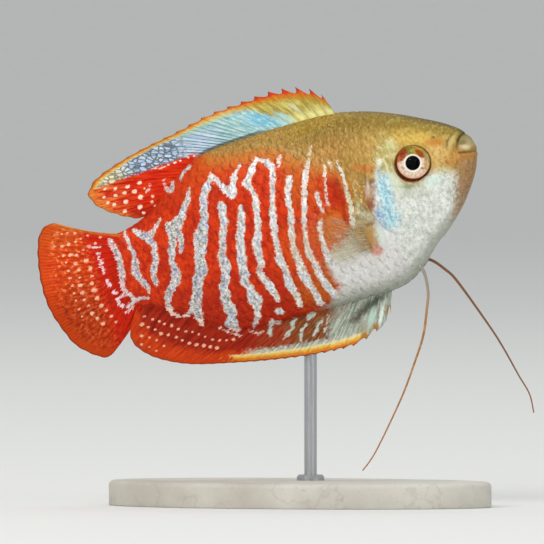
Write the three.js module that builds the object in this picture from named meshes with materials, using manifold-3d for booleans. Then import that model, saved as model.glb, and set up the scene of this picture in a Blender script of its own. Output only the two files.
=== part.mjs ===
// A male dwarf gourami, life size, as a still museum model on a small stand.
// Millimetres, +Z up. The origin is the middle of the underside of the stand's base.
// The fish looks along +X and is pitched nose-up. Its own frame has the snout tip at the origin,
// so a place on the fish is a station, the distance behind the snout, and a height in that frame.
import * as THREE from "three";
import { mergeVertices } from "three/addons/utils/BufferGeometryUtils.js";
import Module from "manifold-3d";

// Driving dimensions
const gap = 0.3; // between pieces that meet
const pitch = THREE.MathUtils.degToRad(18.8); // nose up
const snout = new THREE.Vector3(29, 0, 56.6); // tip of the snout above the base's middle
const stemEnd = 60.6; // station where the scaled tail stem ends
const stemCut = 54.2; // station where torso and tail stem part
const gillLift = 0.4; // how proud the gill cover stands of the torso behind it
const bodyTurns = 40; // points round one section of the body
const ringStep = { head: 1.1, behind: 1.8, change: 20 }; // between sections, and the station of the change

// Outline of the scaled body, seen from the side: [station, height]
const backLine = [
  [0, 0.9],
  [0.35, 1.95],
  [1, 3.0],
  [2, 4.05],
  [3, 4.85],
  [4.5, 5.9],
  [7, 7.35],
  [10, 9.0],
  [14, 10.85],
  [18, 12.15],
  [22, 12.9],
  [28, 13.3],
  [36, 13.5],
  [42, 13.3],
  [46, 12.3],
  [50, 10.1],
  [53, 8.1],
  [56, 6.8],
  [59, 6.2],
  [stemEnd, 6.1],
];
const bellyLine = [
  [0, -0.3],
  [0.35, -1.3],
  [1, -2.55],
  [2, -4.0],
  [3.5, -5.95],
  [5, -7.6],
  [8, -10.2],
  [11, -12.3],
  [14, -14.7],
  [17, -16.3],
  [20, -16.7],
  [26, -16.4],
  [32, -15.9],
  [38, -15.5],
  [43, -15.2],
  [47, -14.2],
  [51, -11.7],
  [55, -8.7],
  [58, -6.9],
  [stemEnd, -6.3],
];
// Half the body's width at its widest height: [station, half width]
const sideLine = [
  [0, 0.5],
  [0.35, 0.98],
  [1, 1.4],
  [2, 1.9],
  [4, 2.75],
  [7, 3.8],
  [11, 4.75],
  [16, 5.25],
  [22, 5.3],
  [30, 4.95],
  [38, 4.2],
  [46, 3.1],
  [52, 2.2],
  [57, 1.5],
  [stemEnd, 1.0],
];
// Height at which a section is widest: [station, height]
const wideLine = [
  [0, 0.3],
  [3, 0.2],
  [8, 0.4],
  [14, -1.2],
  [20, -2.6],
  [30, -1.8],
  [44, -0.8],
  [stemEnd, 0],
];

// How full a section's upper and lower halves are: under 1 is blunt, over 1 draws in to a keel.
const backFullLine = [
  [0, 0.75],
  [5, 0.8],
  [14, 0.9],
  [26, 1.05],
  [45, 1.0],
  [stemEnd, 0.9],
];
const bellyFullLine = [
  [0, 0.75],
  [6, 1.05],
  [12, 1.15],
  [20, 1.05],
  [44, 1.0],
  [stemEnd, 0.9],
];

// Rear edge of the head, from nape to breast, with the gill cover's curve between: [station, height]
const headEdge = [
  [16.0, 15],
  [16.4, 11],
  [16.7, 7],
  [17.1, 3.2],
  [17.8, -0.7],
  [18.4, -3.4],
  [17.8, -6],
  [15.9, -8.6],
  [13.2, -9.9],
  [10.4, -11.0],
  [8.0, -14],
];

// Head
const eyeAt = [9.4, 0.8];
const eyeRadius = 2.8;
const eyeProud = 0.62; // of the skin round it
const eyeBack = 2.0; // depth of the ball behind its rim
const socketRim = 0.28; // radius of the skin fold round the socket
const mouthCorner = 2.6;
const mouthSlit = 0.32;
const lipProud = 0.18; // of the jaw behind it
const lipTaper = 0.4; // share of a lip's radius lost at the mouth's corner
const lips = [
  { way: 1, radius: 0.66, lift: 0.78 },
  { way: -1, radius: 0.46, lift: 0.56 },
];
const nostrils = [
  { at: [5.8, 3.35], radius: 0.34 },
  { at: [4.3, 3.8], radius: 0.24 },
];
// Folds in the skin: over the upper lip, before the eye, and the edge of the cheek plate
const folds = [
  {
    radius: 0.22,
    line: [
      [0.55, 2.2],
      [1.2, 2.5],
      [1.95, 2.0],
      [2.5, 1.0],
    ],
  },
  {
    radius: 0.18,
    line: [
      [2.6, 3.1],
      [3.4, 2.4],
      [3.9, 1.2],
      [3.8, -0.2],
    ],
  },
  {
    radius: 0.18,
    line: [
      [13.1, 3.1],
      [13.7, 0.3],
      [13.5, -3.0],
      [12.3, -5.8],
      [10.1, -7.5],
      [7.6, -7.8],
    ],
  },
];

// Fins. A base line inside the body and a margin, both [station, height], joined by rays. The first
// rays of the upright fins are spines, whose points stand clear of the web between them.
const rayHalf = [0.46, 0.33]; // half a ray's thickness at its root and its tip
const rayWide = [0.27, 0.2]; // half its width there
const webHalf = 0.26; // half the membrane's thickness
const dorsal = {
  base: [
    [20.9, 12.4],
    [28, 12.6],
    [36, 12.7],
    [42, 12.3],
    [47, 10.9],
    [50.5, 9],
    [52.8, 7.6],
  ],
  margin: [
    [21.3, 16.3],
    [24.8, 18.7],
    [29, 19.5],
    [34.5, 19.5],
    [40, 19.1],
    [46, 18.2],
    [52, 17.3],
    [57.5, 16.5],
    [61.2, 15.4],
    [62.9, 13.2],
    [61.4, 10.6],
    [58, 8.3],
    [55.4, 7.3],
  ],
  spines: 16,
  rays: 25,
  notch: 0.75,
  bow: 0.5,
  wave: 0.45,
};
const anal = {
  base: [
    [20.4, -16.1],
    [26, -15.8],
    [34, -15.2],
    [43, -14.6],
    [48, -13.1],
    [53, -9.6],
    [57, -6.8],
    [60.6, -5.6],
  ],
  margin: [
    [22.0, -20.4],
    [25.2, -22.1],
    [29.2, -23.0],
    [35, -22.3],
    [42, -21.1],
    [49, -19.1],
    [55.5, -17.1],
    [60.2, -14.8],
    [62.9, -12.4],
    [63.4, -10.6],
    [62.5, -8.6],
  ],
  spines: 17,
  rays: 28,
  notch: 0.35,
  bow: -0.4,
  wave: -0.4,
};
const tail = {
  base: [
    [59.4, 5.6],
    [59.9, 3],
    [60.1, 0],
    [60.3, -3],
    [60.6, -5.3],
  ],
  margin: [
    [68.6, 10.75],
    [70.2, 11.05],
    [71.4, 10.2],
    [72.8, 8.0],
    [74.2, 3.8],
    [74.6, -0.6],
    [74.0, -5],
    [72.2, -8.7],
    [70.2, -10.9],
    [68.1, -11.9],
  ],
  spines: 0,
  rays: 15,
  notch: 0.25,
  bow: 0,
  wave: 0.5,
};
const breast = {
  base: [
    [19.9, -6.3],
    [20.1, -7.9],
    [20.0, -9.7],
  ],
  margin: [
    [27.6, -1.1],
    [30.8, -2.0],
    [32.2, -5.0],
    [31.6, -8.2],
    [29.6, -10.6],
  ],
  rays: 9,
  stub: 0.62, // half the thickness of its fleshy root
  notch: 0.2,
  splay: THREE.MathUtils.degToRad(11),
};

// Feelers, the thread-like pelvic fins: [forward of the snout, outwards, height] along each
const feelerRoot = 0.5; // radius
const feelerTip = 0.16;
const feelers = {
  right: [
    [-15.0, -0.6, -13.7],
    [-14.2, -1.4, -15.8],
    [-14.4, -2.0, -18.9],
    [-15.4, -2.5, -21.6],
    [-17.2, -2.8, -25.3],
    [-19.9, -3.1, -29.0],
    [-23.7, -3.3, -33.6],
    [-30.2, -3.3, -40.1],
    [-33.4, -3.2, -42.4],
  ],
  left: [
    [-14.8, 0.6, -13.3],
    [-13.1, 1.3, -14.2],
    [-11.7, 2.2, -16.2],
    [-10.6, 3.0, -18.6],
    [-8.4, 4.5, -26.5],
    [-7.4, 5.0, -30.7],
    [-6.5, 5.3, -35.6],
    [-5.8, 5.4, -39.0],
    [-6.1, 5.4, -42.1],
  ],
};

// Stand
const baseLength = 62;
const baseWidth = 32;
const baseThick = 4;
const baseChamfer = 0.8;
const rodAt = new THREE.Vector2(1, 2.9);
const rodRadius = 1;
const rodSocket = 2.4; // depth of the hole that takes the rod

const wasm = await Module();
wasm.setup();

// A closed geometry as a solid that can be joined and cut.
function solid(geometry) {
  const plain = new THREE.BufferGeometry();
  plain.setAttribute("position", geometry.getAttribute("position"));
  if (geometry.index) plain.setIndex(geometry.index);
  const merged = mergeVertices(plain, 1e-4);
  return new wasm.Manifold(
    new wasm.Mesh({
      numProp: 3,
      vertProperties: merged.getAttribute("position").array,
      triVerts: new Uint32Array(merged.index.array),
    }),
  );
}

// A named mesh of a solid's largest closed surface.
function piece(name, shape, material) {
  const bodies = shape.decompose().sort((a, b) => b.volume() - a.volume());
  const made = bodies[0].getMesh();
  const geometry = new THREE.BufferGeometry();
  const places = new Float32Array(made.numVert * 3);
  for (let i = 0; i < made.numVert; i++) {
    const from = i * made.numProp;
    places.set(made.vertProperties.subarray(from, from + 3), i * 3);
  }
  geometry.setAttribute("position", new THREE.BufferAttribute(places, 3));
  geometry.setIndex(new THREE.BufferAttribute(made.triVerts, 1));
  geometry.computeVertexNormals();
  const mesh = new THREE.Mesh(geometry, material);
  mesh.name = name;
  return mesh;
}

// A smooth value along the body from a few [station, value] pairs.
function along(pairs) {
  const slope = pairs.map((_, i) => {
    const before = pairs[Math.max(i - 1, 0)];
    const after = pairs[Math.min(i + 1, pairs.length - 1)];
    return (after[1] - before[1]) / (after[0] - before[0]);
  });
  return (station) => {
    let i = 0;
    while (i < pairs.length - 2 && station > pairs[i + 1][0]) i++;
    const [s0, v0] = pairs[i];
    const [s1, v1] = pairs[i + 1];
    const span = s1 - s0;
    const chord = (v1 - v0) / span;
    const t = THREE.MathUtils.clamp((station - s0) / span, 0, 1);
    const bend = (1 - t) * (slope[i] - chord) - t * (slope[i + 1] - chord);
    return v0 + (v1 - v0) * t + t * (1 - t) * span * bend;
  };
}

const back = along(backLine);
const belly = along(bellyLine);
const side = along(sideLine);
const wide = along(wideLine);
const backFullness = along(backFullLine);
const bellyFullness = along(bellyFullLine);

// Half width of the body at a station and height.
function sideAt(station, height) {
  const up = height > wide(station);
  const reach = up ? back(station) - wide(station) : wide(station) - belly(station);
  const level = THREE.MathUtils.clamp(Math.abs(height - wide(station)) / reach, 0, 1);
  const full = up ? backFullness(station) : bellyFullness(station);
  return side(station) * Math.sqrt(1 - level * level) ** full;
}

// How far the gill cover stands out of the body's own surface.
function liftAt(station, height) {
  const towardsEdge = THREE.MathUtils.smoothstep(station, 11, 17);
  const below = THREE.MathUtils.smoothstep(height, -11.5, -7.5);
  const above = 1 - THREE.MathUtils.smoothstep(height, 2.5, 7);
  return gillLift * towardsEdge * below * above;
}

// The whole body as one closed skin, pushed out by grow, with or without the gill covers.
function bodySkin(grow, gills) {
  const stations = [0, 0.15, 0.35, 0.65, 1];
  while (stations.at(-1) < stemEnd - 1) {
    const last = stations.at(-1);
    stations.push(last + (last < ringStep.change ? ringStep.head : ringStep.behind));
  }
  stations.push(stemEnd);
  const places = [];
  const faces = [];
  for (const station of stations)
    for (let k = 0; k < bodyTurns; k++) {
      const turn = (2 * Math.PI * k) / bodyTurns;
      const rise = Math.cos(turn);
      const across = Math.abs(Math.sin(turn));
      const edge = rise > 0 ? back(station) : belly(station);
      const height = wide(station) + Math.abs(rise) * (edge - wide(station));
      const full = rise > 0 ? backFullness(station) : bellyFullness(station);
      const out = side(station) * across ** full + (gills ? liftAt(station, height) : 0);
      const onRidge = across < 1e-9;
      places.push(-station, onRidge ? 0 : Math.sign(Math.sin(turn)) * out, height);
    }
  for (let i = 0; i + 1 < stations.length; i++)
    for (let k = 0; k < bodyTurns; k++) {
      const a = i * bodyTurns + k;
      const b = i * bodyTurns + ((k + 1) % bodyTurns);
      faces.push(a, b, a + bodyTurns, b, b + bodyTurns, a + bodyTurns);
    }
  const frontMiddle = places.length / 3;
  places.push(0.02, 0, 0.3);
  places.push(-stemEnd - 0.5, 0, 0);
  const last = (stations.length - 1) * bodyTurns;
  for (let k = 0; k < bodyTurns; k++) {
    const next = (k + 1) % bodyTurns;
    faces.push(frontMiddle, next, k, frontMiddle + 1, last + k, last + next);
  }
  const geometry = new THREE.BufferGeometry();
  geometry.setAttribute("position", new THREE.Float32BufferAttribute(places, 3));
  geometry.setIndex(faces);
  if (grow) {
    geometry.computeVertexNormals();
    const at = geometry.getAttribute("position");
    const normal = geometry.getAttribute("normal");
    for (let i = 0; i < at.count; i++)
      at.setXYZ(
        i,
        at.getX(i) + grow * normal.getX(i),
        at.getY(i) + grow * normal.getY(i),
        at.getZ(i) + grow * normal.getZ(i),
      );
  }
  return solid(geometry);
}

// A prism across the fish over a side-view outline of [station, height] points.
function sidePrism(outline) {
  const shape = new THREE.Shape(outline.map(([station, height]) => new THREE.Vector2(-station, height)));
  const geometry = new THREE.ExtrudeGeometry(shape, { depth: 40, bevelEnabled: false });
  geometry.translate(0, 0, -20);
  geometry.rotateX(Math.PI / 2);
  return solid(geometry);
}

// A smooth side-view line through [station, height] points, moved sideways by offset.
function smoothLine(points, steps, offset = 0) {
  const curve = new THREE.SplineCurve(points.map(([s, h]) => new THREE.Vector2(s, h)));
  const line = [];
  for (let i = 0; i <= steps; i++) {
    const at = curve.getPointAt(i / steps);
    const way = curve.getTangentAt(i / steps);
    line.push([at.x - way.y * offset, at.y + way.x * offset]);
  }
  return line;
}

// A closed tube along a curve, its radius given at each share of the way.
function tube(curve, radiusAt, steps, sides) {
  const frames = curve.computeFrenetFrames(steps, false);
  const places = [];
  const faces = [];
  for (let i = 0; i <= steps; i++) {
    const centre = curve.getPointAt(i / steps);
    for (let k = 0; k < sides; k++) {
      const turn = (2 * Math.PI * k) / sides;
      const out = frames.normals[i]
        .clone()
        .multiplyScalar(Math.cos(turn))
        .addScaledVector(frames.binormals[i], Math.sin(turn))
        .multiplyScalar(radiusAt(i / steps));
      places.push(...centre.clone().add(out).toArray());
    }
  }
  for (let i = 0; i < steps; i++)
    for (let k = 0; k < sides; k++) {
      const a = i * sides + k;
      const b = i * sides + ((k + 1) % sides);
      faces.push(a, b, a + sides, b, b + sides, a + sides);
    }
  const start = places.length / 3;
  places.push(...curve.getPointAt(0).toArray(), ...curve.getPointAt(1).toArray());
  for (let k = 0; k < sides; k++) {
    const next = (k + 1) % sides;
    const last = steps * sides;
    faces.push(start, next, k, start + 1, last + k, last + next);
  }
  const geometry = new THREE.BufferGeometry();
  geometry.setAttribute("position", new THREE.Float32BufferAttribute(places, 3));
  geometry.setIndex(faces);
  return solid(geometry);
}

// A curve on the body's skin, on the side given by sign, through [station, height] points.
function skinCurve(points, sign) {
  return new THREE.CatmullRomCurve3(
    points.map(([station, height]) => {
      const out = sideAt(station, height) + liftAt(station, height);
      return new THREE.Vector3(-station, sign * out, height);
    }),
  );
}

// Outward direction of the skin at a place on one side.
function skinNormal([station, height], sign) {
  const step = 0.2;
  const alongBody = (sideAt(station + step, height) - sideAt(station - step, height)) / (2 * step);
  const upwards = (sideAt(station, height + step) - sideAt(station, height - step)) / (2 * step);
  return new THREE.Vector3(alongBody, sign, -upwards).normalize();
}

// The mouth line's height at a station.
const mouthAt = (station) => 0.05 + 0.1 * station;

// One rolled lip round the snout, above (+1) or below (-1) the mouth line.
function lip({ way, radius, lift }) {
  const rightSide = [mouthCorner, 2.1, 1.6, 1.1].map((station) => {
    const share = station / mouthCorner;
    const height = mouthAt(station) + way * lift * (1 - 0.45 * share ** 2);
    const inset = radius * (1 - lipTaper * share) - lipProud * (1 - 0.6 * share ** 3);
    return new THREE.Vector3(-station, inset - sideAt(station, height), height);
  });
  const front = new THREE.Vector3(lipProud / 2 - radius, 0, mouthAt(0) + way * lift);
  const leftSide = rightSide.map((p) => new THREE.Vector3(p.x, -p.y, p.z)).reverse();
  const path = new THREE.CatmullRomCurve3([...rightSide, front, ...leftSide]);
  return tube(path, (t) => radius * (1 - lipTaper * (1 - Math.sin(Math.PI * t))), 18, 8);
}

// A round form turned about the eye's own axis, from a profile of [radius, depth out of the skin].
function eyeForm(profile, sign) {
  const geometry = new THREE.LatheGeometry(
    profile.map(([r, out]) => new THREE.Vector2(r, out)),
    22,
  );
  const normal = skinNormal(eyeAt, sign);
  const seat = new THREE.Vector3(-eyeAt[0], sign * sideAt(...eyeAt), eyeAt[1]);
  geometry.applyQuaternion(new THREE.Quaternion().setFromUnitVectors(new THREE.Vector3(0, 1, 0), normal));
  geometry.translate(seat.x, seat.y, seat.z);
  return solid(geometry);
}

// The eyeball's half outline: a low clear dome in front, a deeper bowl behind.
function eyeProfile(grow) {
  const profile = [];
  const steps = 10;
  for (let i = 0; i <= steps; i++) {
    const turn = -Math.PI / 2 + (Math.PI * i) / steps;
    const depth = Math.sin(turn) > 0 ? eyeProud + grow : eyeBack + grow;
    const r = i === 0 || i === steps ? 0 : (eyeRadius + grow) * Math.cos(turn);
    profile.push([r, depth * Math.sin(turn)]);
  }
  return profile;
}

// The skin fold round an eye, a thin ring that rides on the skin.
function eyeRim(sign) {
  const ring = [];
  const ringRadius = eyeRadius + gap + socketRim * 0.5;
  for (let i = 0; i < 28; i++) {
    const turn = (2 * Math.PI * i) / 28;
    const station = eyeAt[0] + ringRadius * Math.cos(turn);
    const height = eyeAt[1] + ringRadius * Math.sin(turn);
    ring.push(new THREE.Vector3(-station, sign * (sideAt(station, height) - 0.05), height));
  }
  const path = new THREE.CatmullRomCurve3(ring, true);
  const places = [];
  const faces = [];
  const steps = 28;
  const sides = 5;
  const axis = skinNormal(eyeAt, sign);
  for (let i = 0; i < steps; i++) {
    const at = path.getPointAt(i / steps);
    const way = path.getTangentAt(i / steps);
    const outwards = new THREE.Vector3().crossVectors(way, axis).normalize();
    const up = new THREE.Vector3().crossVectors(outwards, way).normalize();
    for (let k = 0; k < sides; k++) {
      const turn = (2 * Math.PI * k) / sides;
      const p = at
        .clone()
        .addScaledVector(outwards, socketRim * Math.cos(turn))
        .addScaledVector(up, socketRim * Math.sin(turn));
      places.push(p.x, p.y, p.z);
    }
  }
  for (let i = 0; i < steps; i++)
    for (let k = 0; k < sides; k++) {
      const a = i * sides + k;
      const b = i * sides + ((k + 1) % sides);
      const c = ((i + 1) % steps) * sides + k;
      const d = ((i + 1) % steps) * sides + ((k + 1) % sides);
      faces.push(a, c, b, b, c, d);
    }
  const geometry = new THREE.BufferGeometry();
  geometry.setAttribute("position", new THREE.Float32BufferAttribute(places, 3));
  geometry.setIndex(faces);
  return solid(geometry);
}

const material = (color, roughness, metalness = 0) =>
  new THREE.MeshStandardMaterial({ color, roughness, metalness });
const olive = material(0xb0964a, 0.45);
const red = material(0xd23a12, 0.4);
const finRed = material(0xd9481a, 0.4);
const finBlue = material(0x8fc4d8, 0.4);
const clear = material(0xd9cdb0, 0.3);
const thread = material(0xb8662e, 0.5);
const eyeCream = material(0xe6c79a, 0.15);
const paleStone = material(0xcfcac2, 0.6);
const steel = material(0xb9bcc0, 0.3, 1);

const fish = new THREE.Group();
fish.position.copy(snout);
fish.rotation.y = -pitch;

const wholeBody = bodySkin(0, false);
const bodyWithGills = bodySkin(0, true);
const keepClear = bodySkin(gap, true);

// Head: lips, folds, nostrils, eye sockets, mouth
function head() {
  const edge = smoothLine(headEdge, 28);
  let made = bodyWithGills.intersect(sidePrism([[-6, 18], ...edge, [-6, -18]]));
  for (const each of lips) made = made.add(lip(each));
  for (const sign of [-1, 1]) {
    made = made.add(eyeRim(sign));
    made = made.subtract(eyeForm(eyeProfile(gap), sign));
    for (const fold of folds) {
      const curve = skinCurve(fold.line, sign);
      made = made.subtract(tube(curve, (t) => fold.radius * (0.35 + 0.65 * Math.sin(Math.PI * t)), 11, 5));
    }
    for (const nostril of nostrils) {
      const pit = new THREE.SphereGeometry(nostril.radius, 8, 6);
      pit.translate(-nostril.at[0], sign * sideAt(...nostril.at), nostril.at[1]);
      made = made.subtract(solid(pit));
    }
  }
  const half = mouthSlit / 2;
  const slit = sidePrism([
    [-3, mouthAt(-3) + half],
    [mouthCorner, mouthAt(mouthCorner) + half * 0.5],
    [mouthCorner, mouthAt(mouthCorner) - half * 0.5],
    [-3, mouthAt(-3) - half],
  ]);
  return made.subtract(slit);
}

function torso() {
  const front = smoothLine(headEdge, 28, gap);
  return wholeBody.intersect(sidePrism([...front, [8.6, -24], [stemCut, -24], [stemCut, 24], [16.6, 24]]));
}

function tailStem() {
  const start = stemCut + gap;
  return wholeBody.intersect(
    sidePrism([
      [start, 20],
      [start, -20],
      [70, -20],
      [70, 20],
    ]),
  );
}

const rayRows = 4;

// A fin of rays and membrane: columns of points from root to margin, each with its half thickness.
function vane(columns) {
  const rows = columns[0].length;
  const places = [];
  const faces = [];
  for (const way of [-1, 1])
    for (const column of columns)
      for (const { x, y, z, half } of column) places.push(x, y + way * half, z);
  const other = columns.length * rows;
  const at = (i, j) => i * rows + j;
  for (let i = 0; i + 1 < columns.length; i++)
    for (let j = 0; j + 1 < rows; j++) {
      const [a, b, c, d] = [at(i, j), at(i + 1, j), at(i + 1, j + 1), at(i, j + 1)];
      faces.push(a, b, c, a, c, d);
      faces.push(other + a, other + c, other + b, other + a, other + d, other + c);
    }
  const rim = [];
  for (let i = 0; i < columns.length; i++) rim.push(at(i, 0));
  for (let j = 1; j < rows; j++) rim.push(at(columns.length - 1, j));
  for (let i = columns.length - 2; i >= 0; i--) rim.push(at(i, rows - 1));
  for (let j = rows - 2; j > 0; j--) rim.push(at(0, j));
  rim.forEach((a, i) => {
    const b = rim[(i + 1) % rim.length];
    faces.push(a, other + b, b, a, other + a, other + b);
  });
  const geometry = new THREE.BufferGeometry();
  geometry.setAttribute("position", new THREE.Float32BufferAttribute(places, 3));
  geometry.setIndex(faces);
  const made = solid(geometry);
  if (made.volume() > 0) return made;
  geometry.setIndex(faces.map((_, i) => faces[i - (i % 3) + [0, 2, 1][i % 3]]));
  return solid(geometry);
}

// Columns of a fin: a crest along each ray and a shoulder on either side, where the web begins.
// place turns a side-view point, with its share of the way out and along the fin, into a 3-D one.
function finColumns({ base, margin, rays, spines = 0, notch, bow = 0, stub = 0 }, place) {
  const baseCurve = new THREE.SplineCurve(base.map(([s, h]) => new THREE.Vector2(s, h)));
  const edgeCurve = new THREE.SplineCurve(margin.map(([s, h]) => new THREE.Vector2(s, h)));
  const columns = [];
  for (let i = 0; i < rays; i++)
    for (const shoulder of [-1, 0, 1]) {
      const share = i / (rays - 1);
      const rootShare = share + (shoulder * rayWide[0]) / baseCurve.getLength();
      const tipShare = share + (shoulder * rayWide[1]) / edgeCurve.getLength();
      if (rootShare < 0 || rootShare > 1) continue;
      const root = baseCurve.getPointAt(rootShare);
      const tip = edgeCurve.getPointAt(tipShare);
      const length = tip.distanceTo(root);
      const dip = shoulder ? notch * (i < spines ? 1 : 0.4) : 0;
      const column = [];
      for (let j = 0; j <= rayRows; j++) {
        const t = (j / rayRows) * (1 - dip / length);
        const p = root.clone().lerp(tip, t);
        p.y += bow * Math.sin(Math.PI * t);
        const thick = shoulder ? webHalf : THREE.MathUtils.lerp(...rayHalf, t);
        const half = Math.max(thick, stub * (1 - THREE.MathUtils.smoothstep(t, 0.1, 0.35)));
        column.push({ ...place(p, t, share), half });
      }
      columns.push(column);
    }
  return columns;
}

// An upright fin on the fish's middle plane, with a slight wave towards its margin.
function uprightFin(plan) {
  const place = (p, t, share) => ({
    x: -p.x,
    y: plan.wave * t * t * Math.sin(3.5 * Math.PI * share),
    z: p.y,
  });
  return vane(finColumns(plan, place)).subtract(keepClear);
}

// A paired fin on the body's side, fanned backwards and splayed a little outwards.
function sideFin(sign) {
  const [first, , last] = breast.base;
  const rootOut = sideAt((first[0] + last[0]) / 2, (first[1] + last[1]) / 2) - 0.25;
  const place = (p) => ({
    x: -p.x,
    y: sign * (rootOut + Math.tan(breast.splay) * (p.x - first[0])),
    z: p.y,
  });
  return vane(finColumns(breast, place)).subtract(keepClear);
}

// One feeler, a tapering thread.
function feeler(points) {
  const path = new THREE.CatmullRomCurve3(points.map((p) => new THREE.Vector3(...p)));
  const radius = (t) => THREE.MathUtils.lerp(feelerRoot, feelerTip, t ** 0.7);
  return tube(path, radius, 36, 7).subtract(keepClear);
}

fish.add(piece("head", head(), olive));
fish.add(piece("torso", torso(), red));
fish.add(piece("tail_stem", tailStem(), red));
fish.add(piece("dorsal_fin", uprightFin(dorsal), finBlue));
fish.add(piece("anal_fin", uprightFin(anal), finRed));
fish.add(piece("tail_fin", uprightFin(tail), finRed));
for (const [name, sign] of [
  ["right", -1],
  ["left", 1],
]) {
  fish.add(piece(`eye_${name}`, eyeForm(eyeProfile(0), sign), eyeCream));
  fish.add(piece(`pectoral_fin_${name}`, sideFin(sign), clear));
  fish.add(piece(`feeler_${name}`, feeler(feelers[name]), thread));
}

// The oval base, with a chamfered top edge and a blind hole for the rod.
function standBase() {
  const profile = [
    [0, 0],
    [0.5, 0],
    [0.5, baseThick - baseChamfer],
    [0.5 - baseChamfer / baseLength, baseThick],
    [0, baseThick],
  ].map(([r, h]) => new THREE.Vector2(r, h));
  const oval = new THREE.LatheGeometry(profile, 64);
  oval.rotateX(Math.PI / 2);
  oval.scale(baseLength, baseWidth, 1);
  const hole = new THREE.CylinderGeometry(rodRadius + gap, rodRadius + gap, rodSocket * 2, 24);
  hole.rotateX(Math.PI / 2);
  hole.translate(rodAt.x, rodAt.y, baseThick);
  return solid(oval).subtract(solid(hole));
}

// The upright rod, its top cut to the fish's flank.
function standRod() {
  const bottom = baseThick - rodSocket + gap;
  const top = snout.z - 10;
  const rod = new THREE.CylinderGeometry(rodRadius, rodRadius, top - bottom, 20);
  rod.rotateX(Math.PI / 2);
  rod.translate(rodAt.x, rodAt.y, (top + bottom) / 2);
  fish.updateMatrixWorld(true);
  rod.applyMatrix4(fish.matrixWorld.clone().invert());
  const cut = solid(rod).subtract(keepClear).decompose();
  const lowest = (shape) => new THREE.Vector3(...shape.boundingBox().min).z;
  return cut.sort((a, b) => lowest(a) - lowest(b))[0];
}

const part = new THREE.Group();
part.add(fish);
part.add(piece("stand_base", standBase(), paleStone));
fish.add(piece("stand_rod", standRod(), steel));

export default part;
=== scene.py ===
import math

import bmesh
import bpy
import numpy as np
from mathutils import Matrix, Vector


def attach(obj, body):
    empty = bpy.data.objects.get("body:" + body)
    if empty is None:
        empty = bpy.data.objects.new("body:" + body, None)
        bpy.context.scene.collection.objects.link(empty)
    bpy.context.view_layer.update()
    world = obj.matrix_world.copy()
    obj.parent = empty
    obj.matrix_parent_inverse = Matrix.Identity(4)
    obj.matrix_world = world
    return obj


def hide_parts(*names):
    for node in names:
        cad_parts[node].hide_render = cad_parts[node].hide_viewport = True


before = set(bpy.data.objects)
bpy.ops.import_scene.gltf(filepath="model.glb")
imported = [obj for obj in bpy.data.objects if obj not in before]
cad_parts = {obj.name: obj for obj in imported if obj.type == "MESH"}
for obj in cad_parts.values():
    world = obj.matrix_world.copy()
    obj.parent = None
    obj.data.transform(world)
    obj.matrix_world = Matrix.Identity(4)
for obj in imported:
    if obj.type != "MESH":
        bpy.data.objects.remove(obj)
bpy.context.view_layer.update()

# Camera
# A long lens level with the fish, a little ahead of its right side, as in the photograph.
view_width = 0.08595  # metres across the picture at the fish
view_turn = math.radians(15)  # ahead of square on to the flank
view_rise = math.radians(1.0)
view_distance = 2.6
aim = Vector((-0.00423, -0.00113, 0.0370))
toward_camera = Vector((
    math.sin(view_turn) * math.cos(view_rise),
    -math.cos(view_turn) * math.cos(view_rise),
    math.sin(view_rise),
))
lens = bpy.data.cameras.new("studio_camera")
lens.sensor_width = 36
lens.lens = lens.sensor_width * view_distance / view_width
lens.clip_start, lens.clip_end = 0.05, 20
camera = bpy.data.objects.new("studio_camera", lens)
bpy.context.collection.objects.link(camera)
camera.location = aim + toward_camera * view_distance
camera.rotation_euler = (-toward_camera).to_track_quat("-Z", "Y").to_euler()
bpy.context.scene.camera = camera


# Studio
# A pale floor that sweeps slowly up all round like a wide bowl, soft lamps in front and above, and
# an even pale sky. The finishes below are all built with the two classes here.
class Reading:
    """A value on its way through a finish. Arithmetic on it adds the Math nodes."""

    def __init__(self, finish, socket):
        self.finish, self.socket = finish, socket

    def maths(self, operation, *values):
        return self.finish.node("Math", {"operation": operation}, dict(enumerate(values)))

    def __add__(self, other):
        return self.maths("ADD", self, other)

    def __sub__(self, other):
        return self.maths("SUBTRACT", self, other)

    def __rsub__(self, other):
        return self.maths("SUBTRACT", other, self)

    def __mul__(self, other):
        return self.maths("MULTIPLY", self, other)

    def __truediv__(self, other):
        return self.maths("DIVIDE", self, other)

    def __pow__(self, other):
        return self.maths("POWER", self, other)

    __radd__, __rmul__ = __add__, __mul__

    def part(self):
        """The part after the whole number."""
        return self.maths("FRACT", self)

    def size(self):
        return self.maths("ABSOLUTE", self)

    def larger(self, other):
        return self.maths("MAXIMUM", self, other)

    def step(self, low, high):
        """0 at low, 1 at high and an even curve between; high may be the smaller."""
        ends = {"Value": self, "From Min": low, "From Max": high}
        return self.finish.node("MapRange", {"interpolation_type": "SMOOTHSTEP"}, ends)


def paint(code):
    """A colour from its sRGB code, as the shader takes it."""
    parts = [int(code[i : i + 2], 16) / 255 for i in (0, 2, 4)]
    return (*(c / 12.92 if c <= 0.04045 else ((c + 0.055) / 1.055) ** 2.4 for c in parts), 1.0)


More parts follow.
